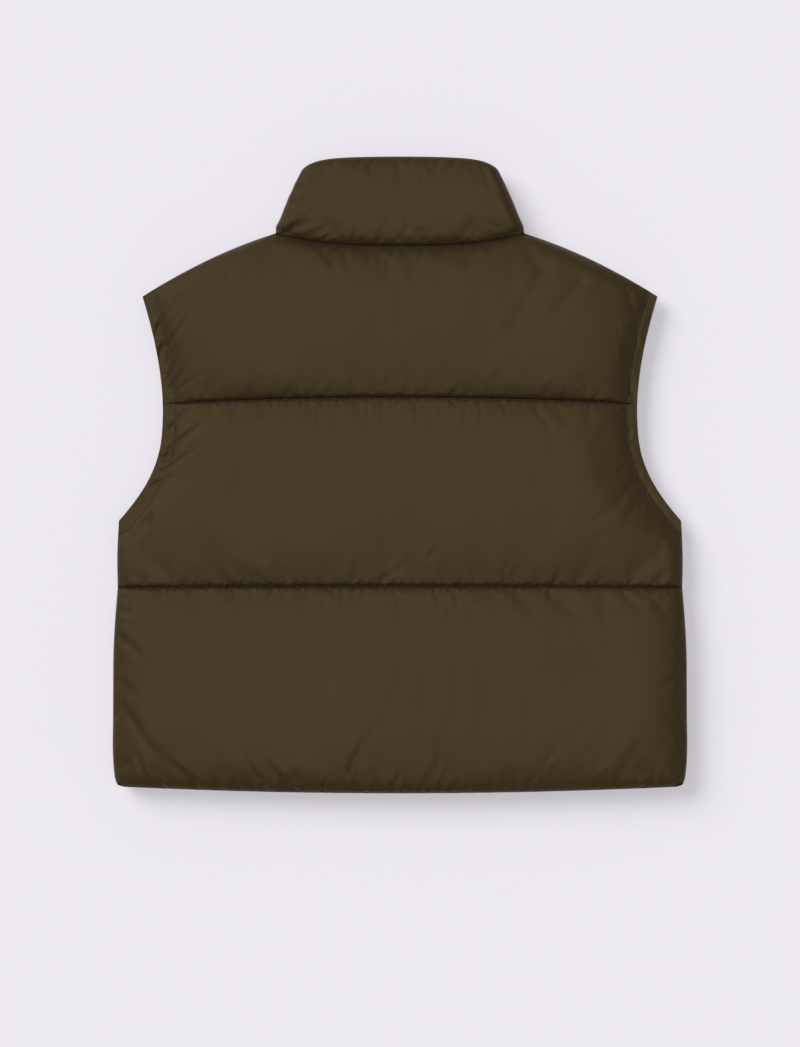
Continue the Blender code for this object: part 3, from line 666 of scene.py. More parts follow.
def quilted_section(section, creases, seed, pitch, flip):
    """A section's flat grid, how its padding rises over it, and what its material reads."""
    edges = outline(section.node, flip)
    dense = [smooth_line(line, np.linspace(0, 1, 60)) for line in edges]
    flat = sheet_grid(edges, section.sides, pitch)
    share, nearest = np.ones(flat.shape[:2]), np.ones(flat.shape[:2])
    from_armhole = from_hem = from_zip = from_seam = np.full(flat.shape[:2], FAR)
    every, paths = list(creases), []
    for number, (kind, line) in enumerate(zip(section.edges, dense)):
        draw = seed * 10 + number
        distance, _ = distance_to(flat, line)
        share *= fullness(distance, kind)
        nearest = np.minimum(nearest, distance)
        if kind is ARMHOLE:
            from_armhole = np.minimum(from_armhole, distance)
        if kind is HEM:
            from_hem = distance
        if kind in (QUILTED, NECK_SEAM):
            from_seam = np.minimum(from_seam, distance)
        if kind is FRONT_EDGE:
            from_zip = distance
        if kind in (QUILTED, NECK_SEAM, HEM):
            above = 1 if line[:, 1].mean() < flat[..., 1].mean() else -1
            ordered = line if line[0, 0] < line[-1, 0] else line[::-1]
            slants = LOW_SLANTS if kind is QUILTED and above > 0 else HIGH_SLANTS
            if kind is HEM:
                slants = HEM_SLANTS
            every += puckers(ordered, slants, draw, above, *BROAD_PUCKERS)
            every += puckers(ordered, slants, draw + 500, above, *TIGHT_PUCKERS)
            if kind is HEM:
                every += puckers(ordered, slants, draw + 700, above, *HEM_PUCKERS)
        if kind in (ARMHOLE, SIDE_SEAM, SHOULDER_SEAM):
            reach = BAND * 0.95 if kind is ARMHOLE else SIDE_FOLD_REACH
            every += cross_folds(line, reach, draw + 900)
        if kind is ARMHOLE:
            paths.append(inside_of(line, BAND))
        if kind is FRONT_EDGE:
            paths.append(inside_of(line, ZIP_SEWN))
    lining = SEAM_GAP / 2 + HEM_TURN * (1 - rolled(from_hem / HEM_TURN_DEPTH))
    lining = np.maximum(lining, MARGIN_DROP * (1 - past_margin(from_zip)))
    on_margin = from_zip < MARGIN_END
    held = sewn_down(nearest, (from_armhole < BAND + 0.0015) | on_margin)
    by_armhole, by_zip = from_armhole - BAND, from_zip - ZIP_SEWN
    thread = np.where(np.abs(by_armhole) < np.abs(by_zip), by_armhole, by_zip)
    least = np.where(on_margin, MARGIN_WALL, LINING)
    for kind, after, line in zip(section.edges, section.edges[1:] + section.edges[:1], dense):
        if {kind, after} == {HEM, SIDE_SEAM}:
            flat = corner_rounded(flat, line[-1])
    return Laid(flat, share, lining, least, every, held, nearest, thread, from_seam, paths)


def corner_rounded(flat, corner):
    """Draws the cloth round a corner in towards the middle of its piece."""
    inward = np.sign(flat.reshape(-1, 2).mean(axis=0) - corner) / math.sqrt(2)
    near = np.clip(1 - np.linalg.norm(flat - corner, axis=-1) / CORNER_REACH, 0, 1)
    return flat + inward * CORNER_PULL * near[..., None] ** 2


def inside_of(line, distance):
    """The line that runs a distance inside an edge, which goes anticlockwise round its piece."""
    along = np.gradient(line, axis=0)
    along /= np.linalg.norm(along, axis=1, keepdims=True)
    return line + distance * np.stack([-along[:, 1], along[:, 0]], axis=-1)


def cross_folds(line, reach, seed):
    """Small folds that run in from an edge: across a topstitched band, where its straight
    edge is turned on a curve, or from a side seam into the padding."""
    chance = np.random.default_rng(seed)
    total = np.linalg.norm(np.diff(line, axis=0), axis=1).sum()
    made, at = [], FOLD_SPACING[0]
    while at < total - 0.006:
        start, ahead = smooth_line(line, [at / total, min(at / total + 0.01, 1)])
        along = (ahead - start) / max(np.linalg.norm(ahead - start), 1e-9)
        inward = np.array([-along[1], along[0]])
        end = start + inward * reach + along * chance.normal(0, FOLD_LEAN)
        ends = [v * 1000 for v in (start[0], start[1] - HEM_Y, end[0], end[1] - HEM_Y)]
        made.append(Crease(*ends, chance.uniform(*FOLD_WIDTH), chance.uniform(*FOLD_DEPTH), 0.0))
        at += chance.uniform(*FOLD_SPACING)
    return made


def sew_sections(sections, creases, seed, pitch, loft, way, flip=False):
    """Makes a layer's sections: way is 1 for the back, which swells up, and -1 for a front."""
    laid, sheets = [], []
    for number, section in enumerate(sections):
        part = quilted_section(section, creases[section.node], seed + number, pitch, flip)
        rise = np.minimum(part.share * loft, MIDDLE_Z if way < 0 else 1.0)
        rise = np.maximum(rise, part.lining + part.least)
        start = np.concatenate([part.flat, (MIDDLE_Z + way * rise)[..., None]], axis=-1)
        laid.append(part)
        sheets.append((start, part.held, SLACK, way))
    settled = settle(sheets)
    for section, part, (start, *_), moved in zip(sections, laid, sheets, settled):
        moved = calmed(start, moved, part.nearest)
        shift = moved[..., :2] - part.flat
        size = np.linalg.norm(shift, axis=-1, keepdims=True)
        shift *= np.minimum(1, MOST_SHIFT * part.nearest[..., None] / np.maximum(size, 1e-9))
        place, rise = finer(part.flat + shift), finer(way * (moved[..., 2] - MIDDLE_Z))
        if way < 0:
            rise = np.minimum(rise, MIDDLE_Z - SURFACE)
        rise = rise - creased(place, part.creases)
        rise = np.maximum(rise, finer(part.lining) + finer(part.least))
        shell = np.concatenate([place, np.maximum(MIDDLE_Z + way * rise, SURFACE)[..., None]], axis=-1)
        inner = np.concatenate([part.flat, (MIDDLE_Z + way * part.lining)[..., None]], axis=-1)
        for row, down, kind in ((0, -1, section.edges[0]), (-1, 1, section.edges[sum(section.sides[:2])])):
            if kind is QUILTED:
                inner[row, :, 1] += down * SEAM_GAP / 2  # the linings are sewn edge to edge
        cut = finer(part.flat)
        if flip:
            for points in (shell, inner, cut):
                points[..., 0] *= -1
        marks = {"from_thread": finer(part.thread), "from_seam": finer(part.seam)}
        piece = padded_wall(f"quilted_{section.node}", shell, inner, cut, marks)
        piece.data.materials.append(SHELL)
        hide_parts(section.node)
        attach(piece, "vest")
        mirror = np.array([-1, 1]) if flip else np.array([1, 1])
        STITCHED.extend((piece, path * mirror, way) for path in part.paths)


STITCHED = []  # each topstitched piece, a line of its stitching and the way the piece faces
sew_sections(BACK, BACK_CREASES, 3, 0.0031, BACK_LOFT, 1)

# ---------------------------------------------------------------------------------------
# The fronts: three sections a side in the same shell and wadding, cut to meet at the zip.
# They lie face down, so the surface presses their padding level. The neck is cut lower.
# ---------------------------------------------------------------------------------------
FRONT_LOFT = 0.0170


def front_sections(side):
    return [
        Section(f"{side}_front_bottom", [HEM, SIDE_SEAM, QUILTED, FRONT_EDGE], (1, 1, 1, 1)),
        Section(f"{side}_front_middle", [QUILTED, SIDE_SEAM, ARMHOLE, QUILTED, FRONT_EDGE], (1, 2, 1, 1)),
        Section(f"{side}_front_top", [QUILTED, ARMHOLE, SHOULDER_SEAM, NECK_SEAM, FRONT_EDGE], (1, 1, 2, 1)),
    ]


RIGHT_FRONT_CREASES = {
    "right_front_bottom": [
        Crease(268, 132, 232, 104, 5.0, 1.6, 0.06),
        Crease(262, 62, 214, 24, 6.0, 1.5, -0.05),
        Crease(22, 150, 78, 118, 6.0, 1.4, 0.06),
        Crease(20, 96, 62, 84, 5.0, 1.2, 0.05),
        Crease(22, 44, 66, 60, 6.0, 1.3, -0.05),
        Crease(150, 5, 172, 48, 5.0, 1.3, 0.05),
        Crease(196, 192, 168, 150, 6.0, 1.2, -0.05),
    ],
    "right_front_middle": [
        Crease(226, 300, 158, 262, 6.0, 1.7, 0.06),
        Crease(238, 284, 204, 236, 6.0, 1.5, -0.05),
        Crease(22, 340, 74, 320, 6.0, 1.3, 0.05),
        Crease(22, 276, 58, 288, 5.0, 1.2, 0.05),
        Crease(21, 222, 70, 244, 6.0, 1.4, -0.05),
        Crease(120, 372, 98, 340, 5.0, 1.2, 0.05),
    ],
    "right_front_top": [
        Crease(222, 388, 196, 446, 4.5, 1.5, 0.04),
        Crease(229, 420, 214, 468, 4.0, 1.4, -0.04),
        Crease(84, 496, 118, 452, 6.0, 1.4, 0.06),
        Crease(56, 484, 66, 448, 5.0, 1.3, -0.06),
        Crease(22, 428, 60, 436, 5.0, 1.2, 0.05),
        Crease(34, 476, 40, 450, 4.0, 1.2, 0.05),
    ],
}
LEFT_FRONT_CREASES = {
    "left_front_bottom": [
        Crease(269, 96, 228, 78, 5.0, 1.5, -0.06),
        Crease(256, 22, 206, 58, 6.0, 1.4, 0.05),
        Crease(21, 128, 64, 140, 6.0, 1.3, 0.05),
        Crease(22, 62, 82, 92, 6.0, 1.4, -0.06),
        Crease(92, 5, 104, 40, 5.0, 1.3, 0.05),
        Crease(132, 193, 152, 158, 6.0, 1.2, 0.05),
    ],
    "left_front_middle": [
        Crease(224, 312, 170, 344, 6.0, 1.5, 0.06),
        Crease(236, 288, 176, 276, 6.0, 1.6, -0.05),
        Crease(240, 270, 214, 218, 5.0, 1.3, 0.04),
        Crease(22, 308, 82, 302, 6.0, 1.3, 0.05),
        Crease(21, 244, 54, 224, 5.0, 1.2, 0.05),
        Crease(76, 372, 92, 336, 5.0, 1.2, -0.05),
    ],
    "left_front_top": [
        Crease(220, 402, 202, 458, 4.5, 1.4, 0.05),
        Crease(226, 384, 190, 412, 4.5, 1.3, -0.04),
        Crease(98, 504, 146, 446, 7.0, 1.4, 0.05),
        Crease(44, 480, 72, 430, 6.0, 1.3, -0.05),
        Crease(21, 404, 52, 392, 5.0, 1.2, 0.05),
    ],
}
sew_sections(front_sections("right"), RIGHT_FRONT_CREASES, 23, 0.0040, FRONT_LOFT, -1)
sew_sections(front_sections("left"), LEFT_FRONT_CREASES, 43, 0.0040, FRONT_LOFT, -1, flip=True)

# ---------------------------------------------------------------------------------------
# The collar: one padded strip of the same shell, sewn to the neck and folded at the sides.
# Laid flat it leans in to a rolled top edge, and its two ends meet at the zip.
# ---------------------------------------------------------------------------------------
NECK_HALF = 0.1187
COLLAR_TOP_HALF = 0.0935
COLLAR_SIDE_BULGE = 0.0014
COLLAR_HEIGHT = 0.080
COLLAR_TOP, COLLAR_CORNER, FRONT_COLLAR_TOP = 0.6050, 0.5925, 0.5680
BACK_NECK, FRONT_NECK, NECK_POINT = 0.5201, 0.4780, 0.5326
COLLAR_BACK_LOFT, COLLAR_FRONT_LOFT = 0.0138, 0.0158
COLLAR_SEAM = Edge(0.34, 0.0, 0.009, 0.036, 0.50)
COLLAR_ROLL = Edge(0.34, 0.0, 0.009, 0.030, 0.55)
NECK_SLOT = 0.0004
ZIP_EDGE = 0.0070  # half the gap between the two front edges
COLLAR_PITCH = 0.0031
COLLAR_CREASES = [
    Crease(-118, 531, -74, 548, 5.0, 2.8, -0.06),
    Crease(-112, 528, -66, 539, 4.0, 1.8, -0.08),
    Crease(-106, 533, -62, 560, 5.0, 1.2, 0.06),
    Crease(-98, 527, -88, 546, 3.4, 0.9, 0.05),
    Crease(117, 531, 80, 544, 5.0, 2.6, 0.06),
    Crease(111, 529, 70, 536, 4.0, 1.6, 0.08),
    Crease(112, 535, 82, 562, 5.0, 1.3, 0.05),
    Crease(96, 528, 84, 545, 3.4, 0.9, -0.05),
    Crease(37, 600, 26, 582, 3.6, 1.1, 0.05),
    Crease(10, 601, 2, 588, 3.2, 0.9, 0.05),
    Crease(54, 601, 40, 590, 3.2, 0.9, 0.05),
    Crease(-36, 601, -50, 588, 3.4, 0.8, 0.05),
    Crease(-62, 598, -84, 580, 4.0, 0.9, 0.05),
    Crease(-100, 572, -78, 575, 4.0, 0.9, 0.05),
    Crease(-105, 560, -80, 562, 3.6, 0.8, -0.05),
    Crease(78, 594, 86, 570, 4.0, 0.8, 0.05),
]
COLLAR_FRONT_CREASES = [
    Crease(18, 500, 58, 520, 5.0, 1.3, 0.06),
    Crease(-20, 540, -62, 532, 5.0, 1.2, -0.06),
    Crease(74, 512, 88, 546, 5.0, 1.2, 0.05),
    Crease(-84, 516, -66, 552, 5.0, 1.2, 0.05),
]


def back_neck(x):
    """How high above the hem the back's neck seam runs."""
    return BACK_NECK + (NECK_POINT - BACK_NECK) * (abs(x) / NECK_HALF) ** 3


def front_neck(x):
    """How high above the hem the fronts' neck seam runs."""
    return FRONT_NECK + (NECK_POINT - FRONT_NECK) * (abs(x) / NECK_HALF) ** 2.4


def collar_half(v):
    """Half width of the folded collar from its seam, v = 0, to its top corner, v = 1."""
    return NECK_HALF + (COLLAR_TOP_HALF - NECK_HALF) * v + COLLAR_SIDE_BULGE * 4 * v * (1 - v)


def back_collar_top(share):
    """The back's rolled edge, at a share of the way from the middle to the fold."""
    drop = COLLAR_TOP - COLLAR_CORNER
    return COLLAR_TOP - 0.24 * drop * share**2 - 0.76 * drop * share**8


def front_collar_top(share):
    """The fronts' rolled edge, at a share of the way from the zip to the fold."""
    return FRONT_COLLAR_TOP + (COLLAR_CORNER - FRONT_COLLAR_TOP) * share**2


def collar_rows():
    """For each row of the collar's grid: v, its full share of the loft, how far its lining
    stands off the middle, and the radius of its fold."""
    steps = [0.0, 0.0009, 0.0022]
    between = np.linspace(0.0045, COLLAR_HEIGHT - 0.0045, round(COLLAR_HEIGHT / COLLAR_PITCH) - 2)
    rows = np.concatenate([steps, between, COLLAR_HEIGHT - np.array(steps[::-1])]) / COLLAR_HEIGHT
    made = []
    for v in rows:
        share = fullness(v * COLLAR_HEIGHT, COLLAR_SEAM) * fullness((1 - v) * COLLAR_HEIGHT, COLLAR_ROLL)
        lift = NECK_SLOT + HEM_TURN * (1 - rolled((1 - v) * COLLAR_HEIGHT / HEM_TURN_DEPTH))
        made.append((v, share, lift, max(COLLAR_BACK_LOFT * share, lift + LINING)))
    return made


def collar_point(row, part, angle, layer):
    """A shell point and a lining point. part is the share of the way from the middle of a
    layer to its fold, or None on the fold, where angle says how far round it is."""
    v, share, lining, radius = row
    side, way = collar_half(v), 1 if layer == "back" else -1
    if part is None:
        loft = COLLAR_FRONT_LOFT + (COLLAR_BACK_LOFT - COLLAR_FRONT_LOFT) * (math.sin(angle) + 1) / 2
        rise, centre = max(loft * share, lining + LINING), side - radius
        shell = (centre + radius * math.cos(angle), rise * math.sin(angle))
        inner = (centre + lining * math.cos(angle), lining * math.sin(angle))
    else:
        start = ZIP_EDGE if way < 0 else 0.0
        x = start + (side - radius - start) * part
        least, loft = LINING, COLLAR_BACK_LOFT
        if way < 0:
            loft = COLLAR_FRONT_LOFT
            share = share * fullness(x - ZIP_EDGE, FRONT_EDGE)
            lining = max(lining, MARGIN_DROP * (1 - past_margin(x - ZIP_EDGE)))
            least = MARGIN_WALL if x - ZIP_EDGE < MARGIN_END else LINING
        shell, inner = (x, way * max(loft * share, lining + least)), (x, way * lining)
    neck, top = (back_neck, back_collar_top) if way > 0 else (front_neck, front_collar_top)
    made = []
    for x, z in (shell, inner):
        along = min(x / side, 1.0)
        low = neck(along * NECK_HALF) + SEAM_GAP / 2
        made.append((x, low + (top(along) - low) * v + HEM_Y, max(MIDDLE_Z + z, SURFACE)))
    return made


def make_collar():
    """One grid from the zip round the back to the zip again, and from the seam to the top."""
    fold = np.radians(np.linspace(90, -90, 15))
    back_parts = np.linspace(0, 1, 37)[:-1]
    margin = np.array([0, 0.0015, 0.0045, 0.0075, 0.0092, 0.0110, 0.0135]) / 0.105
    front_parts = np.concatenate([margin[:-1], np.linspace(margin[-1], 1, 30)[:-1]])[::-1]
    half = []
    for row in collar_rows():
        points = [collar_point(row, part, None, "back") for part in back_parts]
        points += [collar_point(row, None, angle, "back" if angle >= 0 else "front") for angle in fold]
        points += [collar_point(row, part, None, "front") for part in front_parts]
        half.append(points)
    right = np.array(half)
    left = right[:, :0:-1].copy()
    left[..., 0] *= -1
    whole = np.concatenate([left, right], axis=1)
    shell, inner = whole[:, :, 0], whole[:, :, 1]

    # Puckers start at the neck seam, and each crease sinks towards the lining.
    seam_x = np.linspace(-NECK_HALF, NECK_HALF, 60)
    seam = np.stack([seam_x, [back_neck(x) + HEM_Y for x in seam_x]], axis=-1)
    broad = COLLAR_CREASES + puckers(seam, (50, 118), 71, 1, (20, 44), (9, 22), (3.0, 4.4), (0.6, 1.2))
    ticks = puckers(seam, (60, 112), 72, 1, (5, 15), (4, 10), (1.8, 2.4), (0.45, 0.95))
    down = inner - shell
    down /= np.maximum(np.linalg.norm(down, axis=-1, keepdims=True), 1e-9)
    rows, columns = shell.shape[:2]
    lengths = np.linalg.norm(np.diff(shell, axis=1), axis=-1)
    around = np.concatenate([np.zeros((rows, 1)), np.cumsum(lengths, axis=1)], axis=1)
    up = np.array([row[0] for row in collar_rows()])[:, None] * COLLAR_HEIGHT * np.ones(columns)
    from_zip = np.minimum(around, around[:, -1:] - around)
    nearest = np.minimum(np.minimum(up, COLLAR_HEIGHT - up), from_zip)
    held = sewn_down(nearest, from_zip < MARGIN_END)
    moved = calmed(shell, settle([(shell, held, SLACK, 1)])[0], nearest)
    shift = moved - shell
    size = np.linalg.norm(shift, axis=-1, keepdims=True)
    shift *= np.minimum(1, np.minimum(MOST_SHIFT * nearest[..., None], 0.004) / np.maximum(size, 1e-9))
    fine, fine_down = finer(shell + shift), finer(down)
    back_fall = creased(fine[..., :2], broad + ticks)
    front_fall = creased(fine[..., :2], COLLAR_FRONT_CREASES)
    fall = np.where(finer(shell)[..., 2] > MIDDLE_Z, back_fall, front_fall)
    fine = fine + fine_down * (fall * np.clip(finer(nearest) / 0.003, 0.15, 1))[..., None]
    fine[..., 2] = np.maximum(fine[..., 2], SURFACE)
    cloth = np.stack([around - around[:, -1:] / 2, up], axis=-1)
    marks = {"from_thread": finer(from_zip) - ZIP_SEWN, "from_seam": finer(up)}
    piece = padded_wall("collar_strip", fine, inner, finer(cloth), marks)
    piece.data.materials.append(SHELL)
    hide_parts("collar")
    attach(piece, "vest")
    for end in (fine[:, 2], fine[:, -3]):
        x = np.sign(end[:, 0]) * (ZIP_EDGE + ZIP_SEWN)
        STITCHED.append((piece, np.stack([x, end[:, 1]], axis=-1)[2:-2], -1))


make_collar()

# ---------------------------------------------------------------------------------------
# Topstitching: a lockstitch in matching thread, 11 mm inside each armhole and along both
# zip margins. Each stitch is drawn a little way into the cloth.
# ---------------------------------------------------------------------------------------
STITCH_LENGTH, STITCH_GAP = 0.0025, 0.0008
THREAD_THICKNESS = 0.00042
SHOWING = 0.00014  # how far the middle of a thread stands above the cloth


def sewing_thread():
    """Twisted polyester thread, a shade lighter than the cloth."""
    material, tree, shader, place = new_material("sewing_thread")
    strand = noise(tree, (-3, 0), place, 2600.0, 1.0)
    tone = tones(tree, (-2, 0), strand, (0.070, 0.054, 0.030), (0.140, 0.112, 0.068))
    twist = bumped(tree, (-1, 1), strand, 0.4, 0.0001)
    plug(tree, shader, Base_Color=tone.outputs["Color"], Normal=twist, Roughness=0.55)
    return material


def grown(tree_name, make_tree, values, start, name, material):
    """Runs a geometry node group on a start mesh and gives its result as a plain object."""
    tree = make_tree(tree_name)
    thing = placed(name, start)
    change = thing.modifiers.new(tree_name, "NODES")
    change.node_group = tree
    sockets = {item.name: item.identifier for item in tree.interface.items_tree if item.in_out == "INPUT"}
    for label, value in {**values, "Material": material}.items():
        change[sockets[label]] = value
    bpy.context.view_layer.update()
    mesh = bpy.data.meshes.new_from_object(thing.evaluated_get(bpy.context.evaluated_depsgraph_get()))
    thing.modifiers.remove(change)
    thing.data = mesh
    mesh.name = name
    return thing


def stitch_tree(name):
    """Beads of thread along seam lines, a stitch and a gap apart, drawn out to stitches."""
    tree, given, result = new_group(
        name,
        "GeometryNodeTree",
        [
            ("Seam Lines", "NodeSocketGeometry", None),
            ("Stitch Length", "NodeSocketFloat", STITCH_LENGTH),
            ("Stitch Gap", "NodeSocketFloat", STITCH_GAP),
            ("Thread Thickness", "NodeSocketFloat", THREAD_THICKNESS),
            ("Material", "NodeSocketMaterial", None),
        ],
        [("Stitches", "NodeSocketGeometry", None)],
    )
    line = node(tree, "GeometryNodeMeshToCurve", (1, 0), Mesh=given.outputs["Seam Lines"])
    step = maths(tree, (1, 2), "ADD", given.outputs["Stitch Length"], given.outputs["Stitch Gap"])
    paced = node(tree, "GeometryNodeResampleCurve", (2, 0), mode="LENGTH", Curve=line.outputs[0], Length=step)
    bead = node(tree, "GeometryNodeMeshUVSphere", (1, 4), Segments=8, Rings=5, Radius=0.5)
    thick = given.outputs["Thread Thickness"]
    size = node(tree, "ShaderNodeCombineXYZ", (1, 5), X=given.outputs["Stitch Length"], Y=thick, Z=thick)
    stitch = node(tree, "GeometryNodeTransform", (2, 4), Geometry=bead.outputs["Mesh"], Scale=size.outputs[0])
    heading = node(tree, "GeometryNodeInputTangent", (2, 2))
    turned = node(tree, "FunctionNodeAlignRotationToVector", (3, 2), axis="X", Vector=heading.outputs[0])
    sewn = node(tree, "GeometryNodeInstanceOnPoints", (4, 0), Points=paced.outputs[0])
    plug(tree, sewn, Instance=stitch.outputs[0], Rotation=turned.outputs[0])
    real = node(tree, "GeometryNodeRealizeInstances", (5, 0), Geometry=sewn.outputs[0])
    smooth = node(tree, "GeometryNodeSetShadeSmooth", (6, 0), Geometry=real.outputs[0])
    done = node(tree, "GeometryNodeSetMaterial", (7, 0), Geometry=smooth.outputs[0])
    plug(tree, done, Material=given.outputs["Material"])
    tree.links.new(done.outputs[0], result.inputs[0])
    return tree


def lines_on_cloth():
    """Every line of topstitching as a mesh of edges that lies on the finished cloth."""
    points, edges = [], []
    bpy.context.view_layer.update()
    for piece, path, way in STITCHED:
        run = []
        for x, y in path:
            found, place, _, _ = piece.ray_cast(Vector((x, y, 0.2 * way)), Vector((0, 0, -way)))
            if found:
                run.append((x, y, place.z + way * SHOWING))
        edges += [(len(points) + i, len(points) + i + 1) for i in range(len(run) - 1)]
        points += run
    mesh = bpy.data.meshes.new("seam_lines")
    mesh.from_pydata(points, edges, [])
    return mesh


sizes = {"Stitch Length": STITCH_LENGTH, "Stitch Gap": STITCH_GAP, "Thread Thickness": THREAD_THICKNESS}
topstitching = grown("topstitch", stitch_tree, sizes, lines_on_cloth(), "topstitching", sewing_thread())
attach(topstitching, "vest")

# ---------------------------------------------------------------------------------------
# The centre front zip: two woven tapes sewn behind the fronts' margins, moulded teeth, a
# slider with a hinged pull tab, two top stops, and a box and pin that open it at the hem.
# ---------------------------------------------------------------------------------------
TAPE_LOW, TAPE_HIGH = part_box("zip_tape_right")
TAPE_Z = (TAPE_LOW.z + TAPE_HIGH.z) / 2
CORD_HALF = 0.0006  # half the thickness of the tape's corded edge


def woven_tape():
    """Polyester herringbone tape, a little darker than the shell."""
    material, tree, shader, place = new_material("woven_tape")
    cloth = node(tree, "ShaderNodeUVMap", (-5, 1), uv_map="cloth").outputs[0]
    woven = node(tree, "ShaderNodeGroup", (-3, 1), node_tree=WEAVE, Cloth=cloth, Threads_per_Metre=1500.0)
    weave = woven.outputs[0]
    ribs = node(tree, "ShaderNodeTexWave", (-3, 2), Vector=cloth, Scale=110.0, bands_direction="X")
    drift = noise(tree, (-3, -2), place, 60.0, 3.0)
    tone = tones(tree, (-2, -2), drift, (0.0240, 0.0165, 0.0075), (0.0340, 0.0245, 0.0115))
    shade = node(tree, "ShaderNodeMapRange", (-2, 0), Value=weave, To_Min=0.7)
    coloured = multiplied(tree, (-1, -1), tone.outputs["Color"], shade.outputs[0])
    ribbed = bumped(tree, (-2, 2), ribs.outputs["Fac"], 0.5, 0.0002)
    threads = bumped(tree, (-1, 2), weave, 0.6, 0.0002, Normal=ribbed)
    plug(tree, shader, Base_Color=coloured, Normal=threads, Roughness=0.85, Specular_IOR_Level=0.2)
    return material


# The tape's section from the teeth to its far edge: shares of its width and half thickness.
TAPE_SECTION = [
    (0.0, 0.5),
    (0.03, 1.0),
    (0.08, 1.0),
    (0.13, 0.85),
    (0.35, 0.83),
    (0.60, 0.83),
    (0.85, 0.83),
    (0.97, 0.7),
    (1.0, 0.35),
]
TAPE_ROWS = 141


def tape(name, node_name, side):
    """One tape with its corded edge by the teeth, as a long closed tube of flat section."""
    wide = TAPE_HIGH.x - TAPE_LOW.x
    ring = [(TAPE_LOW.x + wide * x, CORD_HALF * z) for x, z in TAPE_SECTION]
    ring += [(x, -z) for x, z in ring[::-1]]
    rows = np.linspace(TAPE_LOW.y, TAPE_HIGH.y, TAPE_ROWS)
    points = [(side * x, y, TAPE_Z + z) for y in rows for x, z in ring]
    count = len(ring)
    faces = [
        [r * count + i, r * count + (i + 1) % count, (r + 1) * count + (i + 1) % count, (r + 1) * count + i]
        for r in range(len(rows) - 1)
        for i in range(count)
    ]
    faces += [list(range(count)), [len(points) - count + i for i in range(count)][::-1]]
    mesh = bpy.data.meshes.new(name)
    mesh.from_pydata(points, [], faces)
    uv = mesh.uv_layers.new(name="cloth")
    for corner in mesh.loops:
        x, y, _ = mesh.vertices[corner.vertex_index].co
        uv.uv[corner.index].vector = (x, y)
    faced_out(mesh, 50)
    piece = placed(name, mesh)
    mesh.materials.append(TAPE_CLOTH)
    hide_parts(node_name)
    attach(piece, "vest")


TAPE_CLOTH = woven_tape()
tape("woven_tape_left", "zip_tape_left", -1)
tape("woven_tape_right", "zip_tape_right", 1)

# The teeth, moulded on the two cords in turn so that each head locks between two others.
TOOTH_PITCH = 0.0026
TOOTH_WIDTH, TOOTH_HEIGHT = 0.00105, 0.0022
TOOTH_REACH = 0.0036  # from the middle of the zip to the back of a tooth, on the cord
HEAD_RADIUS = 0.00078
FOOT_PLACE = 0.0031  # from the middle of the zip to the round foot that grips the cord


def moulded_plastic():
    """Dark acetal, glossier where the slider has rubbed the heads."""
    material, tree, shader, place = new_material("moulded_plastic")
    grain, drift = noise(tree, (-4, 0), place, 900.0, 3.0), noise(tree, (-4, 2), place, 70.0, 2.0)
    tone = tones(tree, (-2, 0), drift, (0.0190, 0.0145, 0.0080), (0.0290, 0.0225, 0.0130))
    rubbed = node(tree, "ShaderNodeMapRange", (-2, 2), Value=grain, To_Min=0.28, To_Max=0.48)
    bumps = bumped(tree, (-1, 3), grain, 0.15, 0.0001)
    plug(tree, shader, Base_Color=tone.outputs["Color"], Roughness=rubbed.outputs[0], Normal=bumps)
    return material


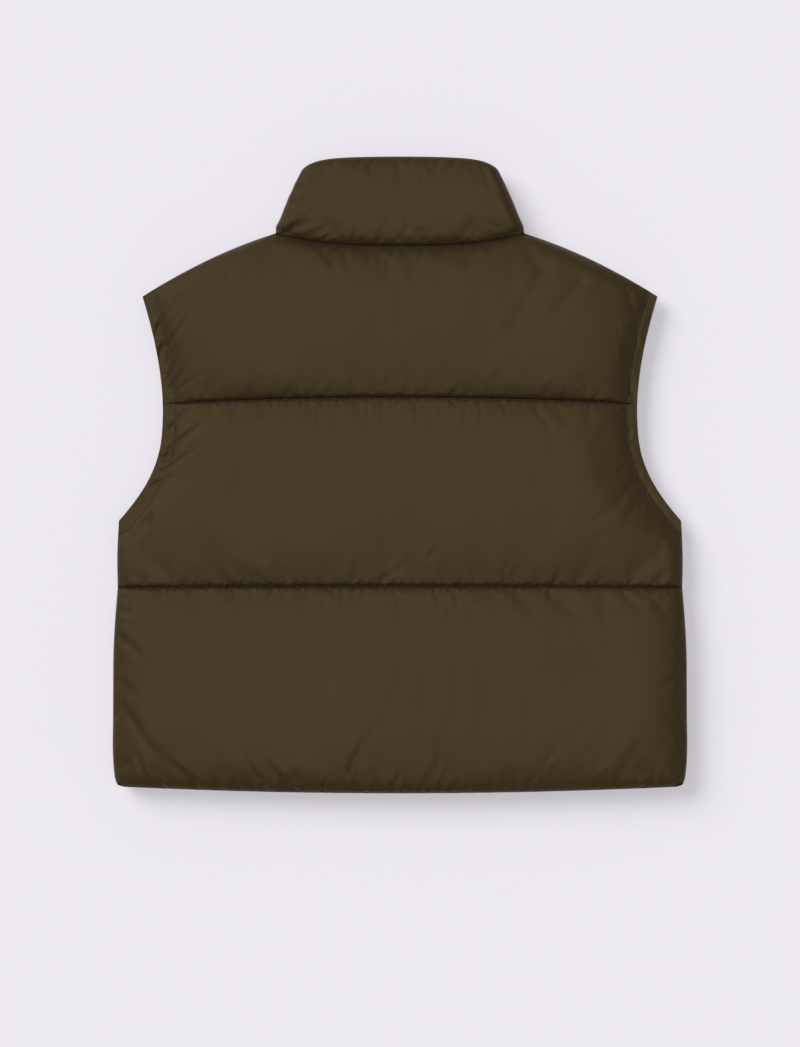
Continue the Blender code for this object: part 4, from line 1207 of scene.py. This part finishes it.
def teeth_tree(name):
    """Two rows of teeth that face each other, half a pitch apart, so that they lock."""
    tree, given, result = new_group(
        name,
        "GeometryNodeTree",
        [
            ("Start", "NodeSocketVector", None),
            ("Tooth Pitch", "NodeSocketFloat", TOOTH_PITCH),
            ("Teeth a Side", "NodeSocketInt", 200),
            ("Tooth Width", "NodeSocketFloat", TOOTH_WIDTH),
            ("Tooth Height", "NodeSocketFloat", TOOTH_HEIGHT),
            ("Tooth Reach", "NodeSocketFloat", TOOTH_REACH),
            ("Head Radius", "NodeSocketFloat", HEAD_RADIUS),
            ("Material", "NodeSocketMaterial", None),
        ],
        [("Teeth", "NodeSocketGeometry", None)],
    )
    reach, height, pitch = (given.outputs[f"Tooth {name}"] for name in ("Reach", "Height", "Pitch"))
    size = node(tree, "ShaderNodeCombineXYZ", (1, 0), X=reach, Y=given.outputs["Tooth Width"], Z=height)
    shank = node(tree, "GeometryNodeMeshCube", (2, 0), Size=size.outputs[0])
    plug(tree, shank, Vertices_X=4, Vertices_Y=2, Vertices_Z=2)
    middle = maths(tree, (1, 1), "MULTIPLY", reach, 0.5)
    out = node(tree, "ShaderNodeCombineXYZ", (2, 1), X=middle)
    shank = node(tree, "GeometryNodeTransform", (3, 0), Geometry=shank.outputs["Mesh"])
    plug(tree, shank, Translation=out.outputs[0])
    head = node(tree, "GeometryNodeMeshCylinder", (2, 3), Vertices=12, Depth=height)
    plug(tree, head, Radius=given.outputs["Head Radius"])
    foot = node(tree, "GeometryNodeTransform", (3, 4), Geometry=head.outputs["Mesh"])
    plug(tree, foot, Translation=(FOOT_PLACE, 0, 0))
    tooth = node(tree, "GeometryNodeJoinGeometry", (4, 1))
    for part in (shank, head, foot):
        tree.links.new(part.outputs[0], tooth.inputs[0])
    step = node(tree, "ShaderNodeCombineXYZ", (1, 6), Y=pitch)
    half_step = node(tree, "ShaderNodeVectorMath", (2, 6), operation="SCALE", i0=step.outputs[0], Scale=0.5)
    first = given.outputs["Start"]
    second = node(tree, "ShaderNodeVectorMath", (3, 6), operation="ADD", i0=first, i1=half_step.outputs[0])
    rows = node(tree, "GeometryNodeJoinGeometry", (7, 0))
    for row, (start, turn) in enumerate(((first, 0.0), (second.outputs[0], math.pi))):
        line = node(tree, "GeometryNodeMeshLine", (4, 4 + 2 * row), Count=given.outputs["Teeth a Side"])
        plug(tree, line, Start_Location=start, Offset=step.outputs[0])
        row_of_teeth = node(tree, "GeometryNodeInstanceOnPoints", (5, 2 * row), Points=line.outputs[0])
        plug(tree, row_of_teeth, Instance=tooth.outputs[0], Rotation=(0, 0, turn))
        tree.links.new(row_of_teeth.outputs[0], rows.inputs[0])
    real = node(tree, "GeometryNodeRealizeInstances", (8, 0), Geometry=rows.outputs[0])
    done = node(tree, "GeometryNodeSetMaterial", (9, 0), Geometry=real.outputs[0])
    plug(tree, done, Material=given.outputs["Material"])
    tree.links.new(done.outputs[0], result.inputs[0])
    return tree


chain_low, chain_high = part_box("zip_chain")
teeth_a_side = int((chain_high.y - chain_low.y - 0.002) / TOOTH_PITCH)
sizes = {
    "Start": (0.0, chain_low.y + 0.0009, TAPE_Z),
    "Tooth Pitch": TOOTH_PITCH,
    "Teeth a Side": teeth_a_side,
    "Tooth Width": TOOTH_WIDTH,
    "Tooth Height": TOOTH_HEIGHT,
    "Tooth Reach": TOOTH_REACH,
    "Head Radius": HEAD_RADIUS,
}
nothing = bpy.data.meshes.new("zip_cord")
teeth = grown("locked_teeth", teeth_tree, sizes, nothing, "moulded_teeth", moulded_plastic())
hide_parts("zip_chain")
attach(teeth, "vest")


def enamelled_zinc(name, wear):
    """Cast zinc under dark enamel, thinner and brighter where hands and teeth rub it."""
    material, tree, shader, place = new_material(name)
    rubs, fine = noise(tree, (-5, 0), place, 340.0, 5.0), noise(tree, (-5, 2), place, 1800.0, 2.0)
    worn = node(tree, "ShaderNodeMapRange", (-4, 0), interpolation_type="SMOOTHSTEP", Value=rubs)
    plug(tree, worn, From_Min=0.66 - wear, From_Max=0.80 - wear)
    coloured = node(tree, "ShaderNodeMix", (-2, 0), data_type="RGBA", Factor=worn.outputs[0])
    plug(tree, coloured, A=(0.020, 0.016, 0.011, 1), B=(0.190, 0.165, 0.125, 1))
    smooth = node(tree, "ShaderNodeMapRange", (-2, 2), Value=fine, To_Min=0.24, To_Max=0.42)
    peel = bumped(tree, (-1, 3), fine, 0.10, 0.0001)
    plug(tree, shader, Base_Color=coloured.outputs["Result"], Roughness=smooth.outputs[0], Normal=peel)
    plug(tree, shader, Metallic=0.85)
    return material


def refinish(node_name, material):
    """Gives a casting its enamel."""
    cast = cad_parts[node_name]
    for place in cast.material_slots:
        place.material = material


fixed_metal, rubbed_metal = enamelled_zinc("enamelled_zinc", 0.0), enamelled_zinc("rubbed_zinc", 0.10)
for part in ("zip_box", "zip_stop_left", "zip_stop_right"):
    refinish(part, fixed_metal)
for part in ("zip_slider", "zip_pull"):
    refinish(part, rubbed_metal)

# ---------------------------------------------------------------------------------------
# The surface it lies on, a soft light from the upper left and another from above, the faint
# light of the room, and a camera straight above.
# ---------------------------------------------------------------------------------------
floor_mesh = bpy.data.meshes.new("floor")
floor_mesh.from_pydata([(-20, -20, 0), (20, -20, 0), (20, 20, 0), (-20, 20, 0)], [], [(0, 1, 2, 3)])
floor = placed("floor", floor_mesh)
paper, paper_tree, paper_shader, _ = new_material("pale_paper")
plug(paper_tree, paper_shader, Base_Color=(0.846, 0.812, 0.877, 1), Roughness=0.9, Specular_IOR_Level=0.0)
floor_mesh.materials.append(paper)

world = bpy.data.worlds.new("studio")
bpy.context.scene.world = world
world.use_nodes = True
plug(world.node_tree, world.node_tree.nodes["Background"], Color=(1.0, 1.0, 1.0, 1), Strength=0.20)


def sun(name, towards, strength, spread):
    """A distant light that shines towards a direction, spread in degrees as a softbox is."""
    light = bpy.data.lights.new(name, "SUN")
    light.energy, light.angle = strength, math.radians(spread)
    thing = placed(name, light)
    thing.rotation_mode = "QUATERNION"
    thing.rotation_quaternion = Vector(towards).to_track_quat("-Z", "Y")


sun("key", (0.64, -0.52, -0.60), 1.66, 36)
sun("overhead", (0.0, 0.0, -1.0), 1.57, 14)

CAMERA_HEIGHT = 3.0
FRAME_LENGTH = 0.995  # what the long side of the frame takes in, at the middle of the vest
camera_data = bpy.data.cameras.new("camera")
camera_data.lens = 36 * (CAMERA_HEIGHT - 0.02) / FRAME_LENGTH
camera_data.clip_end = 50
camera = placed("camera", camera_data)
camera.location = (0, -0.046, CAMERA_HEIGHT)
bpy.context.scene.camera = camera
bpy.context.scene.view_settings.view_transform = "Standard"
bpy.context.scene.view_settings.look = "None"
